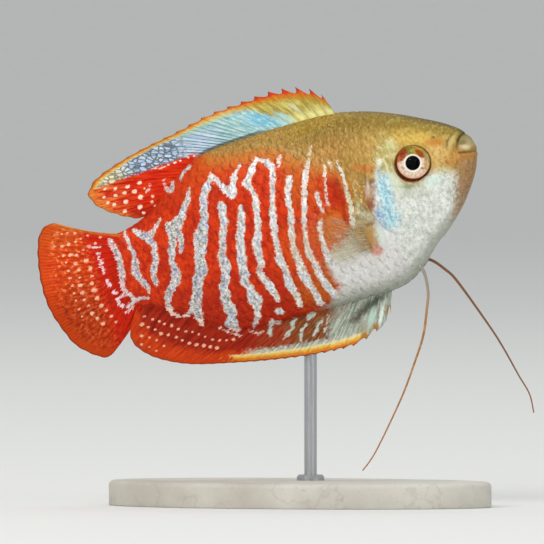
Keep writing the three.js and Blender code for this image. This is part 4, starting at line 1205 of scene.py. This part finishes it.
def length_of(line):
    return np.linalg.norm(np.diff(smooth_line(line, np.linspace(0, 1, 60)), axis=0), axis=1).sum()


def dotted(rows, spacing):
    """Dots along a few rows, a little unevenly set and sized: (station, height, size) of each."""
    luck = np.random.default_rng(dot_seed)
    dots = []
    for row, size in rows:
        for share in np.linspace(0, 1, round(length_of(row) / spacing) + 1):
            at = smooth_line(row, np.array([share]))[0] + luck.uniform(-0.13, 0.13, 2)
            dots.append((*at, size * luck.uniform(0.7, 1.15)))
    return dots


def in_dots(station, height, dots):
    """How far inside the nearest dot a place is, in shares of the dot's size."""
    inside_best = np.full(np.shape(station), -3.0)
    for s, z, size in dots:
        far = np.hypot((station - s) / spot_stretch, height - z) / size
        inside_best = np.maximum(inside_best, 1 - far)
    return inside_best


def fin_place(plan, stand):
    """The place function of a fin's net. stand(p, t, share) gives a side-view place in 3-D.

    A plan has the fin's base and margin as side-view lines; "tips" and "roots" say where on them a
    ray ends and begins, and "teeth" how deep the web falls behind its point. "web", "ray" and
    "flesh" are half thicknesses of the web, of what a ray adds and of the root.
    """
    rays, spines = plan["rays"], plan["spines"]
    root_share, tooth_depth = along(plan["roots"]), along(plan["teeth"])
    spacing = length_of(plan["margin"]) / (rays - 1)

    def place(u, v):
        out = 1 - np.abs(2 * v - 1)
        face = np.sign(2 * v - 1)
        ray = u * (rays - 1)
        tip_share = np.interp(ray, *np.array(plan["tips"], float).T)
        root = smooth_line(plan["base"], root_share(tip_share))
        tip = smooth_line(plan["margin"], tip_share)
        reach = np.linalg.norm(tip - root, axis=1)
        # Behind each spine's point the web drops steeply, then climbs to the next point
        f = np.clip(ray - np.floor(ray + 1e-6), 0, 1)
        tooth = np.sin(math.pi * f**0.75) * tooth_depth(ray)
        stiff = 1 - soft_step(ray, spines - 2, spines + 1)
        dip = tooth * stiff + plan["scallop"] * np.sin(math.pi * f) ** 2 * (1 - stiff)
        t = out * (1 - dip / reach)
        p = root + (tip - root) * t[:, None]
        p[:, 1] += plan["bow"] * np.sin(math.pi * t)
        spread = np.maximum(0.35 + 0.65 * t, 0.2) * spacing
        first = first_fork * soft_step(t, 0.25, 0.75) * (1 - stiff)
        second = second_fork * soft_step(t, 0.6, 1.0) * (1 - stiff)
        ridge = np.zeros(len(u))
        for a in (-1, 1):
            for b in (-1, 1):
                off = ray - np.round(ray - a * first - b * second) - a * first - b * second
                ridge = np.maximum(ridge, np.exp(-((off * spread / plan["ray_wide"]) ** 2)))
        thick = plan["web"] + ridge * (plan["ray"] * (1 - 0.7 * t))
        thick = thick + plan["flesh"] * (1 - soft_step(t, 0.02, 0.3)) ** 2
        shut = np.sqrt(np.clip(np.minimum(u, 1 - u) * rays / 0.12, 0, 1))
        edge = np.sqrt(np.clip((1 - out) * 14, 0, 1)) * np.clip(out * 30, 0, 1)
        half = thick * shut * edge
        x, y, z = stand(p, t, u)
        s, h = p[:, 0], p[:, 1]
        kept = {
            "ray": ray, "rim": (1 - t) * reach, "run": t * reach, "ridge": ridge,
            "dots": in_dots(s, h, plan["dots"]), "silver": in_bars(s, h),
            "clear": np.maximum(h - back(np.minimum(s, stem_end)), belly(np.minimum(s, stem_end)) - h),
        }
        return (x, y + face * half, z), kept

    return place


def cast_fin(name, plan, stand, material, replaced, columns=fin_columns):
    """Casts a fin to its plan and sets it in its place."""
    mesh = net(name, plan["rays"] * columns, fin_rows, fin_place(plan, stand))
    mount(name, mesh, material, (replaced,))


def upright(wave, lean=0.0):
    """Stands a fin up in gentle waves, its last rays leaning to one side."""
    def stand(p, t, share):
        y = wave * t * t * np.sin(3.5 * math.pi * share) * (1 - soft_step(share, 0.8, 0.95))
        return -p[:, 0], y + lean * t * soft_step(share, 0.8, 1.0), p[:, 1]

    return stand


class FinFinish(FishFinish):
    """A fin's finish, which also knows where on its rays a place lies."""

    def __init__(self, name):
        super().__init__(name)
        self.ray, self.rim, self.run = self.own("ray"), self.own("rim"), self.own("run")
        self.ridge, self.dots, self.clear = self.own("ridge"), self.own("dots"), self.own("clear")
        self.streak = self.along_rays(2.2, 0.22, 0, 1.5)
        self.fibre = self.along_rays(9, 0.5, 3, 1.0)
        self.dash = self.along_rays(3.4, 1.2, 7, 1.0)
        silver = self.own("silver") + self.wobble * 0.2 + self.grain * 0.2
        self.silver = (silver + (self.dash - 0.5) * 1.6).step(-0.12, 0.14)

    def along_rays(self, across, lengthwise, seed, scale):
        place = self.node("CombineXYZ", {}, {0: self.ray * across, 1: self.run * lengthwise, 2: seed})
        return self.noise(place, scale, 4.0, 0.6)

    def satin(self, tone):
        tone = self.mix((self.fibre - 0.5) * 1.4, tone, "3a2418", "MULTIPLY")
        return self.surface(
            Base_Color=tone,
            Roughness=0.52 - self.ridge * 0.1,
            Metallic=0.22,
            Specular_IOR_Level=0.1,
            Normal=self.bump(self.fibre * 0.6 + self.ridge * 0.4, 0.00008, 0.6),
        )


# Dorsal fin
# Sixteen spines and nine soft rays. Its web is sky blue, olive in front, with an orange margin and
# red spine tips, then netted, and its soft rear lobe is red with cream dots.
dorsal = {
    "base": [(20.1, 12.4), (28, 12.9), (36, 13.2), (42, 13), (47, 11.4), (50.5, 9.2), (52.6, 7.5)],
    "margin": [
        (21.4, 16.4), (23.1, 17.9), (25.2, 18.8), (29, 19.5), (34.5, 19.4), (40, 19.15), (46, 18.2),
        (52, 17.5), (57.5, 16.5), (61.3, 15.2), (62.9, 13.2), (61.4, 10.6), (58, 8.1), (56, 7.2),
        (54.3, 7.2),
    ],
    "tips": [(0, 0), (24, 1)],
    "roots": [
        (0, 0), (0.08, 0.071), (0.25, 0.253), (0.35, 0.356), (0.445, 0.456), (0.54, 0.571),
        (0.63, 0.675), (0.68, 0.736), (0.75, 0.805), (0.8, 0.866), (0.85, 0.923), (0.93, 0.969),
        (1, 1),
    ],
    "teeth": [(0, 1.2), (1, 1.55), (3, 1.2), (5, 0.75), (8, 0.55), (12, 0.35), (16, 0.2), (24, 0.1)],
    "rays": 25, "spines": 16, "scallop": 0.25, "bow": 0.0,
    "web": 0.07, "ray": 0.17, "ray_wide": 0.13, "flesh": 0.35,
    "dots": [
        (54.1, 12.5, 0.36), (56.2, 12.6, 0.34), (58.2, 12.9, 0.31), (55.3, 11.5, 0.4),
        (57, 11.8, 0.37), (58.5, 11.9, 0.3), (59.8, 13.4, 0.26), (60.4, 12.2, 0.29),
        (54.6, 10.3, 0.42), (57.2, 10.4, 0.39), (60.1, 11.2, 0.28), (59.2, 10.5, 0.33),
        (55.3, 8.9, 0.4), (57.8, 9, 0.33), (55, 7.8, 0.3), (53.6, 11.4, 0.2),
        (52.7, 9.8, 0.26), (53.1, 9, 0.28), (52.8, 8.2, 0.24),
        # a line of small ones between the red and the blue
        (50.9, 13.9, 0.24), (50.1, 13.6, 0.24), (49.4, 13.6, 0.2), (48.6, 13.7, 0.24),
        (47.5, 13.7, 0.26), (46.6, 13.7, 0.2), (45.2, 13.7, 0.18), (44.2, 13.7, 0.2),
    ],
}
web = FinFinish("blue_and_red_membrane")
thin = web.rim * (web.station.step(26, 38) * 0.55 + 0.7) + web.wobble * 0.3
lilac = web.mix(web.streak.step(0.4, 0.6), "a3bdda", "d3e2ee")
tone = web.coats("8bbfc6", [
    (web.streak.step(0.38, 0.62), "c0dcd6"),
    (32, 15.6, 2.4, 1.1, 24, 0.7, 0.6, 0.65, "69c0e4"),
    (web.fibre.step(0.47, 0.36) * 0.6, "5f8a90"),
    (web.dash.step(0.53, 0.64) * 0.55, "def0ea"),
    (web.station.step(37, 42) * web.height.step(17.6, 16.2) * 0.9, lilac),
])
half_way = ((web.ray * 2 + 0.5 + web.wobble * 0.12).part() - 0.5).size()
lines = half_way.step(0.2, 0.04) + (web.dash - 0.5) * 2 + web.grain * 0.4
lines = lines.step(0.3, 0.8) * web.station.step(33, 40)
tone = web.mix(lines * (web.height.step(17.4, 14.4) * 0.4 + 0.4), tone, "3c4a52")
slanted = web.node("Mapping", {"vector_type": "TEXTURE"}, {
    "Vector": web.place, "Rotation": (0, math.radians(21), 0), "Scale": (1.0, 1.0, 0.56),
})
cells = web.node("TexVoronoi", {"feature": "DISTANCE_TO_EDGE"}, {
    "Vector": slanted, "Scale": 1.0, "Randomness": 0.8,
}, "Distance")
cell_tone = web.coats("b4cbea", [
    ((web.station + web.wobble * 2).step(54, 58), "e2d8a8"),
    (web.streak.step(0.45, 0.6) * 0.7, "eef2f4"),
])
cell_line = web.mix((web.station + web.wobble).step(54, 58), "37434c", "7d6c38")
netted = web.mix((cells + web.grain * 0.1).step(0.22, 0.04) * 0.9, cell_tone, cell_line)
in_net = (web.station + web.wobble).step(43.6, 48.0) * web.height.step(17.8, 17.0)
tone = web.mix(in_net * 0.9, tone, netted)
front = (web.station - (web.height - 13.8) * 1.5 + web.wobble * 1.5).step(28.4, 26.6)
front = front.larger((thin + web.wobble * 0.5).step(3.0, 2.1) * web.station.step(50, 36) * 0.85)
olive = web.coats("a58c38", [
    (web.streak.step(0.4, 0.6), "cfc36c"),
    (web.station.step(32, 38), "cfd09a"),
    (web.fibre.step(0.48, 0.36) * 0.6, "806624"),
    ((web.clear + web.wobble * 0.4).step(2.0, 0.4) * 0.8, "e2dd94"),
    (28.4, 14.9, 1.4, 0.5, 42, 0.7, 0.6, 0.8, "a8d8d8"),
    (26.2, 15.6, 1.2, 0.3, 50, 0.7, 0.6, 0.6, "dce6c8"),
])
rear = web.station.step(30, 42)
ochre = web.mix(rear, "b88a2c", "d6c680")
points_dark = web.rim.step(0.5, 0.1) * web.station.step(44, 30)
foot_dark = (web.clear + web.wobble * 0.12).step(0.35, 0.1)
foot_dark = foot_dark * web.station.step(30, 34) * web.station.step(45, 43)
tone = web.coats(tone, [
    (front, olive),
    ((thin + (web.dash - 0.5) * 2).step(2.3, 1.6) * 0.85, ochre),
    ((thin + (web.dash - 0.5) * 1.6).step(1.75, 1.1) * 0.95, web.mix(rear, "cf6c1c", "e09a34")),
    ((thin + (web.dash - 0.5) * 1.0).step(1.15, 0.65) * 0.95, web.mix(rear, "c4321a", "c0661c")),
    (points_dark * 0.7, "742620"),
    (web.ridge.step(0.4, 0.9) * web.station.step(30, 24) * 0.35, "8a4a20"),
    (foot_dark * 0.8, "3c4a40"),
])
lobe = web.height + web.wobble * 0.4 + (web.dash - 0.5) * 1.2
lobe = lobe.step(14.3, 13.7) * web.station.step(43.0, 44.6)
red = web.coats("c81c06", [
    (web.streak.step(0.4, 0.6), "dc380c"),
    (web.station.step(55, 61) * web.streak.step(0.35, 0.6), "e67a38"),
    ((web.rim + web.wobble).step(1.8, 0.6) * web.station.step(54, 58) * 0.8, "df8434"),
    (web.fibre.step(0.48, 0.36) * web.station.step(52, 55) * 0.8, "9c1405"),
    ((web.height + web.wobble * 2).step(9.4, 7.6) * 0.6, "9c160a"),
])
tone = web.coats(tone, [
    (lobe, red),
    (web.silver * web.station.step(43.5, 44.5) * 0.9, "efcfc8"),
    ((web.dots + web.wobble * 0.6).step(-0.06, 0.36) * 0.95, "fbdcc2"),
])
cast_fin("dorsal_fin_cast", dorsal, upright(0.45), web.satin(tone), "dorsal_fin")

# Anal fin
# Eighteen spines and eleven soft rays along the belly, silver green in front with slanted brown
# and turquoise streaks, an orange-yellow margin with a red edge, and dark red with dots behind.
anal = {
    "base": [
        (20.2, -16.1), (26, -15.9), (34, -15.4), (43, -14.7), (48, -13.1), (53, -9.6), (57, -6.8),
        (60.6, -5.6),
    ],
    "margin": [
        (21.9, -20.4), (25, -22.2), (28.9, -23.1), (35, -22.5), (42, -21.1), (49, -19.3),
        (55.5, -17.3), (60.2, -14.8), (62.6, -12.4), (63.3, -10.4), (62.7, -8.5),
    ],
    "tips": [
        (0, 0), (1, 0.024), (2, 0.071), (3, 0.117), (4, 0.165), (5, 0.202), (6, 0.234), (28, 1),
    ],
    "roots": [
        (0, 0), (0.075, 0.031), (0.184, 0.089), (0.29, 0.171), (0.44, 0.3), (0.59, 0.452),
        (0.73, 0.606), (0.84, 0.753), (0.91, 0.854), (0.96, 0.935), (1, 1),
    ],
    "teeth": [
        (0, 1.7), (0.8, 1.6), (1.1, 0.15), (1.9, 0.15), (2.2, 0.9), (3, 0.8), (4, 0.5), (6, 0.35),
        (10, 0.22), (15, 0.12), (28, 0.08),
    ],
    "rays": 29, "spines": 18, "scallop": 0.08, "bow": 0.0,
    "web": 0.07, "ray": 0.17, "ray_wide": 0.13, "flesh": 0.35,
    "dots": dotted([
        ([(60, -7.9), (58.1, -9.2), (56.3, -10.8), (53.5, -12.7), (50.3, -14.9), (47.4, -15.9)], 0.29),
        ([(60.9, -8.8), (59, -10.6), (56, -12.9), (53.9, -14.4), (50.3, -16.4)], 0.31),
        ([(61.4, -10.5), (60.3, -11.2), (58.6, -13.1)], 0.26),
        ([(61.9, -12), (59.9, -13.5)], 0.22),
    ], 1.15),
}
web = FinFinish("red_and_silver_membrane")
tone = web.coats("868f80", [
    (web.streak.step(0.38, 0.62), "b9c0b2"),
    (web.fibre.step(0.48, 0.36) * 0.6, "565c50"),
    (web.dash.step(0.54, 0.64) * 0.5, "d3dace"),
    # a painted shadow cast by the belly's edge across the front of the fin
    (24.2, -17.7, 2.8, 0.6, -17, 0.7, 0.7, 0.85, "3f433a"),
    (26.9, -18.9, 1.4, 0.65, -24, 0.8, 0.9, 0.85, "584e44"),
    (26.6, -20.7, 1.4, 0.6, -10, 0.8, 0.9, 0.6, "968f7a"),
    (24.9, -19.8, 0.42, 1.5, 34, 0.6, 0.5, 0.85, "bcdccb"),
    (23.3, -19.9, 0.3, 1.6, 30, 0.6, 0.5, 0.85, "e4f0ea"),
    (31, -17, 2, 1, 0, 0.9, 0.9, 0.6, "8f6e50"),
])
middle = (web.station + (web.height + 18) * 0.5 + web.wobble * 1.4).step(30.6, 32.4)
bark = web.coats("6a3414", [
    (web.streak.step(0.42, 0.58), "9a4418"),
    (web.dash.step(0.5, 0.4) * 0.5, "5c5230"),
    (web.station.step(37, 40), "96260c"),
    (web.fibre.step(0.5, 0.62) * 0.5, "b88a5c"),
])
tone = web.mix(middle, tone, bark)
whitish = (web.rim + (web.dash - 0.5) * 2.5 + web.wobble * 0.6).step(3.4, 2.5)
whitish = whitish * web.station.step(26.5, 30) * (web.station + web.wobble * 2).step(49, 45)
lace = web.coats("a2a898", [
    (web.streak.step(0.42, 0.58), "d0d6cc"),
    (web.fibre.step(0.48, 0.36) * 0.6, "7c7a6c"),
    (web.grain.step(0.05, 0.3) * 0.6, "8c8c70"),
    (web.grain.step(-0.1, -0.3) * web.station.step(37, 41) * 0.8, "f0e0b4"),
])
rear = (web.station + (web.height + 18) * 1.1 + web.wobble * 3).step(43.0, 47.0)
inner = web.mix(web.streak.step(0.4, 0.6), "8a1a0c", "a42810")
outer = web.mix(web.streak.step(0.4, 0.6), "bc340c", "cc4210")
tone = web.coats(tone, [
    (whitish * 0.95, lace),
    (rear, web.mix((web.rim + web.wobble * 1.2).step(4.2, 2.2), inner, outer)),
    (rear * web.fibre.step(0.46, 0.34) * 0.5, "8c1a08"),
])
near_edge = web.rim + (web.dash - 0.5) * 1.2 + web.wobble * 0.2
yellow = near_edge.step(2.3, 1.6) * (web.station + web.wobble).step(25.5, 28)
yellow = yellow * (web.station + web.wobble * 3 + (web.dash - 0.5) * 5).step(49.8, 48)
gold = web.coats("ecdfa6", [
    (near_edge.step(1.9, 1.3), "e6b440"),
    (near_edge.step(1.3, 0.8), "d87c0c"),
])
tone = web.coats(tone, [
    (yellow * 0.95, gold),
    ((web.rim + web.wobble * 0.3).step(0.6, 0.25) * web.station.step(25, 28) * 0.9, "b4400a"),
])
tip_tone = web.mix(web.fibre.step(0.4, 0.6), "8e5a1c", "c08a34")
tone = web.coats(tone, [
    (21.9, -19.7, 0.5, 0.8, 25, 0.5, 0.4, 0.9, tip_tone),
    (24.8, -21.5, 0.5, 0.8, 25, 0.5, 0.4, 0.9, tip_tone),
    (27, -22.2, 0.5, 0.8, 25, 0.5, 0.4, 0.9, tip_tone),
])
tone = web.coats(tone, [
    (web.silver * 0.9, web.mix(web.station.step(41.8, 42.4), "c6d2c6", "eccfc0")),
    ((web.dots + web.wobble * 0.7).step(-0.05, 0.4) * 0.85, "f4b896"),
])
cast_fin("anal_fin_cast", anal, upright(-0.4, -0.5), web.satin(tone), "anal_fin")

# Tail fin
# Fifteen rays that fork twice on their way out, orange red, with arcs of peach dots between them,
# fine dashes beyond, and a plain outer band.
tail = {
    "base": [(59.2, 5.7), (59.9, 3), (60.1, 0), (60.2, -3), (59.9, -6.1)],
    "margin": [
        (69.4, 10.95), (70.6, 11.1), (71.8, 10.7), (72.8, 9.7), (73.7, 7.5), (74.3, 4.6), (74.6, 1.5),
        (74.6, -1.5), (74.1, -4.3), (73.0, -7.6), (71.9, -9.2), (70.3, -10.7), (69.1, -11.6),
        (68.2, -11.95), (67.3, -11.8), (66.6, -11.3),
    ],
    "tips": [(0, 0), (14, 1)],
    "roots": [(0, 0), (0.5, 0.5), (1, 1)],
    "teeth": [(0, 0), (14, 0)],
    "rays": 15, "spines": -3, "scallop": 0.1, "bow": -0.45,
    "web": 0.08, "ray": 0.15, "ray_wide": 0.14, "flesh": 0.4,
    "dots": dotted([
        ([(66.3, 3.6), (66.2, 1.4), (66.6, -0.6), (66.4, -3.2), (65.9, -4.9), (64.7, -7.2)], 0.37),
        ([(68.1, 3.9), (68.1, 1.5), (68.7, -0.8), (68.4, -3.6), (67.1, -6.8)], 0.31),
        ([(69.5, 4.4), (69.8, 1.4), (69.9, -1.5), (69.8, -4.5)], 0.22),
        ([(63, 6.3), (65.3, 5.5), (68, 5.1), (69.8, 5.6)], 0.28),
        ([(64.9, 7.3), (67, 7.2), (69, 6.9), (70.6, 7.5)], 0.25),
        ([(66.8, 8.3), (68.5, 8.9), (70.2, 9.2)], 0.22),
    ], 1.2),
}
web = FinFinish("orange_red_membrane")
lower = web.height.step(3, -3)
upper_dash = web.dash.step(0.54, 0.63) * web.rim.step(1.0, 3.0) * web.station.step(64, 67)
tone = web.coats("cc3a0a", [
    (web.streak.step(0.4, 0.6), "dc4a10"),
    ((web.height + web.wobble * 2).step(1, -5) * 0.8, "b6390c"),
    ((web.height + web.wobble * 2).step(5, 9.5) * 0.6, "d8601c"),
    (69.5, -3, 3, 5, 0, 0.6, 0.6, 0.4, "ac380c"),
    ((web.rim + web.wobble * 0.6).step(2.2, 0.8) * 0.5, "c2420c"),
    ((web.station + web.wobble * 1.5).step(67.5, 64.5) * 0.9, "cc1804"),
    ((web.ray + web.wobble * 0.4).step(0.8, 0.1) * 0.7, "dd9040"),
    (web.dash.step(0.5, 0.4) * (lower * 0.4 + 0.35) * web.rim.step(0.8, 2.4), "8a2406"),
    (upper_dash * (lower * -0.35 + 0.65), "f49c60"),
    (web.fibre.step(0.5, 0.4) * 0.25, "9c2c0c"),
    (web.silver * web.station.step(66, 65) * 0.9, "f4dcde"),
    ((web.dots + web.wobble * 0.7).step(-0.2, 0.4) * 0.9, "f8bc9c"),
    (web.rim.step(0.25, 0.08) * 0.5, "842a10"),
])
tail_columns = 18  # to a ray, which are wider apart here
cast_fin(
    "tail_fin_cast", tail, upright(0.5, 0.4), web.satin(tone), "tail_fin", tail_columns
)

# Breast fins
# A clear, glass-thin fan on each side, its nine rays forked, on a short fleshy root. They are
# cast in clear resin and set in the flank behind the gill cover.
breast = {
    "base": [(19.7, -6.1), (20.1, -7.9), (20.1, -9.7)],
    "margin": [(27.6, -1.1), (30.8, -2.0), (32.2, -5.0), (31.6, -8.2), (29.6, -10.6)],
    "tips": [(0, 0), (8, 1)],
    "roots": [(0, 0), (0.5, 0.5), (1, 1)],
    "teeth": [(0, 0), (8, 0)],
    "rays": 9, "spines": -3, "scallop": 0.15, "bow": 0.0,
    "web": 0.035, "ray": 0.09, "ray_wide": 0.08, "flesh": 0.5, "dots": [],
}
breast_splay = math.radians(11)
root_out = float(half_width(19.95, -8.0)) - 0.25  # from the middle plane, a little into the flank
web = FinFinish("clear_membrane")
root = web.run.step(3.4, 0.8)
tone = web.coats("6e6346", [
    (web.fibre.step(0.46, 0.56), "d2c9ae"),
    (root * 0.6, web.mix(web.fibre.step(0.4, 0.6), "8a6a3c", "cbab78")),
])
low_rays = web.height.step(-5, -8) * 0.35
striped = web.fibre.step(0.46, 0.58) * web.run.step(8.0, 2.0) * (low_rays + 0.28)
veil = striped + web.ridge.step(0.25, 0.9) * web.run.step(12, 4) * 0.12 + 0.015
glass_material = web.surface(
    Base_Color=tone,
    Alpha=veil.larger(root * (web.fibre.step(0.36, 0.56) * 0.4 + 0.2)),
    Roughness=0.45,
    Specular_IOR_Level=0.15,
    Normal=web.bump(web.ridge, 0.00006, 0.5),
)
for side_name, sign in [("right", -1), ("left", 1)]:

    def splayed(p, t, share, sign=sign):
        return -p[:, 0], sign * (root_out + math.tan(breast_splay) * (p[:, 0] - 19.9)), p[:, 1]

    cast_fin(
        f"breast_fin_{side_name}", breast, splayed, glass_material,
        f"pectoral_fin_{side_name}",
    )

# Feelers
# The belly fins of this fish are two long touch threads. Each is a drawn golden-brown thread, grey
# at its root, that tapers almost to a hair.
feelers = {
    "right": [
        (-15.0, -0.6, -13.7), (-14.2, -1.4, -15.8), (-14.4, -2.0, -18.9), (-15.4, -2.5, -21.6),
        (-17.2, -2.8, -25.3), (-19.9, -3.1, -29.0), (-23.7, -3.3, -33.6), (-30.2, -3.3, -40.1),
        (-33.4, -3.2, -42.4),
    ],
    "left": [
        (-14.8, 0.6, -13.3), (-13.1, 1.3, -14.2), (-11.7, 2.2, -16.2), (-10.6, 3.0, -18.6),
        (-8.4, 4.5, -26.5), (-7.4, 5.0, -30.7), (-6.5, 5.3, -35.6), (-5.8, 5.4, -39.0),
        (-6.1, 5.4, -42.1),
    ],
}
feeler_root, feeler_tip = 0.27, 0.1  # radius at each end
feeler_rings, feeler_sides = 160, 14


def feeler_place(line, dark):
    def place(u, v):
        middle = smooth_line(line, u)
        way = smooth_line(line, np.minimum(u + 0.004, 1)) - smooth_line(line, np.maximum(u - 0.004, 0))
        way /= np.linalg.norm(way, axis=1, keepdims=True)
        first = np.cross(way, (0, 1, 0))
        first /= np.linalg.norm(first, axis=1, keepdims=True)
        second = np.cross(way, first)
        round_end = np.sqrt(np.clip(np.minimum(u, 1 - u) * feeler_rings, 0, 1))
        radius = (feeler_root + (feeler_tip - feeler_root) * u**0.7) * round_end
        turn = v * math.tau
        ring = first * np.cos(turn)[:, None] + second * np.sin(turn)[:, None]
        return tuple((middle + ring * radius[:, None]).T), {"down": u, "dark": 0 * u + dark}

    return place


thread = FishFinish("touch_thread")
down = thread.own("down")
tone = thread.coats("9c6a34", [
    (thread.wobble.step(-0.2, 0.2), "b88446"),
    ((down + thread.wobble * 0.1).step(0.3, 0.1), "93897c"),
    # painted shade: the thread on the far, left side is darker all along
    (thread.own("dark"), "7a4f2c"),
    ((down + thread.wobble * 0.05).step(0.05, 0.015) * 0.7, "b9b0a4"),
    (down.step(0.7, 1.0) * 0.5, "9a5a2c"),
])
thread_material = thread.surface(
    Base_Color=tone, Roughness=0.42, Specular_IOR_Level=0.4,
    Normal=thread.bump(thread.noise(thread.place, 6.0), 0.00005, 0.5),
)
for side_name, line in feelers.items():
    # the left thread gets the painted shade
    place = feeler_place(line, side_name == "left")
    mesh = net(f"touch_thread_{side_name}", feeler_rings, feeler_sides, place)
    mount(mesh.name, mesh, thread_material, (f"feeler_{side_name}",))

# Stand
# An oval slab of honed pale stone with an eased top edge, a polished steel rod let into it, and a
# collar where the rod goes in. It is added to hold up a fish that swims free.
base_size = (0.062, 0.032, 0.004)
base_sides = 160
made = bmesh.new()
bmesh.ops.create_circle(made, segments=base_sides, radius=0.5, cap_ends=True)
bmesh.ops.scale(made, vec=(base_size[0], base_size[1], 1), verts=made.verts[:])
rising = bmesh.ops.extrude_face_region(made, geom=made.faces[:])["geom"]
bmesh.ops.translate(
    made, vec=(0, 0, base_size[2]), verts=[v for v in rising if isinstance(v, bmesh.types.BMVert)]
)
bmesh.ops.recalc_face_normals(made, faces=made.faces[:])
for level, eased, segments in [(base_size[2], 0.0008, 5), (0, 0.0002, 2)]:
    rim = [e for e in made.edges if all(abs(v.co.z - level) < 1e-6 for v in e.verts)]
    bmesh.ops.bevel(
        made, geom=rim, offset=eased, segments=segments, profile=0.5, affect="EDGES", material=-1
    )
stone = Finish("honed_stone")
spot = stone.object_place()
cloud = stone.noise(spot, 60.0, 6.0, 0.6)
grit = stone.noise(spot, 1500.0, 3.0, 0.6)
vein = (stone.noise(spot, 90.0, 5.0, 0.55) - 0.5).size()
tone = stone.coats("b9b3a8", [
    (cloud.step(0.3, 0.7), "d2cdc3"),
    (vein.step(0.02, 0.0) * 0.22, "989286"),
    (grit.step(0.6, 0.75) * 0.4, "98928a"),
])
stone_material = stone.surface(
    Base_Color=tone, Roughness=0.55 + grit * 0.15, Normal=stone.bump(grit, 0.00004, 0.4)
)
base_mesh = as_mesh(made, "stand_stone")
mount("stand_stone", base_mesh, stone_material, ("stand_base",), in_fish=False)
base_mesh.set_sharp_from_angle(angle=math.radians(50))

rod_at = (0.001, 0.0029)
rod_radius = 0.001
rod_foot, rod_top = 0.0019, 0.0362
rod_ease = 0.0003
collar_bore, collar_radius, collar_lip = 0.00105, 0.0022, 0.0019
collar_foot, collar_shoulder, collar_top = 0.0039, 0.0045, 0.0049
steel = Finish("brushed_steel")
spot = steel.object_place()
drawn = steel.noise(steel.node("Mapping", {}, {"Vector": spot, "Scale": (1, 1, 0.02)}), 9000.0, 2.0)
steel_material = steel.surface(
    Base_Color=steel.mix(drawn, "9fa2a6", "c9cbcd"),
    Metallic=1.0,
    Roughness=0.22 + drawn * 0.14,
    Normal=steel.bump(drawn, 0.00001, 0.4),
)
rod_profile = [
    (0, rod_foot), (rod_radius, rod_foot), (rod_radius, rod_top - rod_ease),
    (rod_radius - rod_ease, rod_top), (0, rod_top),
]
collar_profile = [
    (collar_bore, collar_foot), (collar_radius, collar_foot), (collar_radius, collar_shoulder),
    (collar_lip, collar_top), (collar_bore, collar_top), (collar_bore, collar_foot),
]
for name, profile, replaced in [
    ("stand_steel_rod", rod_profile, ("stand_rod",)),
    ("stand_collar", collar_profile, ()),
]:
    mesh = turned(name, profile, 64)
    set_points(mesh, points(mesh) + np.array([*rod_at, 0]))
    mount(name, mesh, steel_material, replaced, in_fish=False)
    mesh.set_sharp_from_angle(angle=math.radians(35))
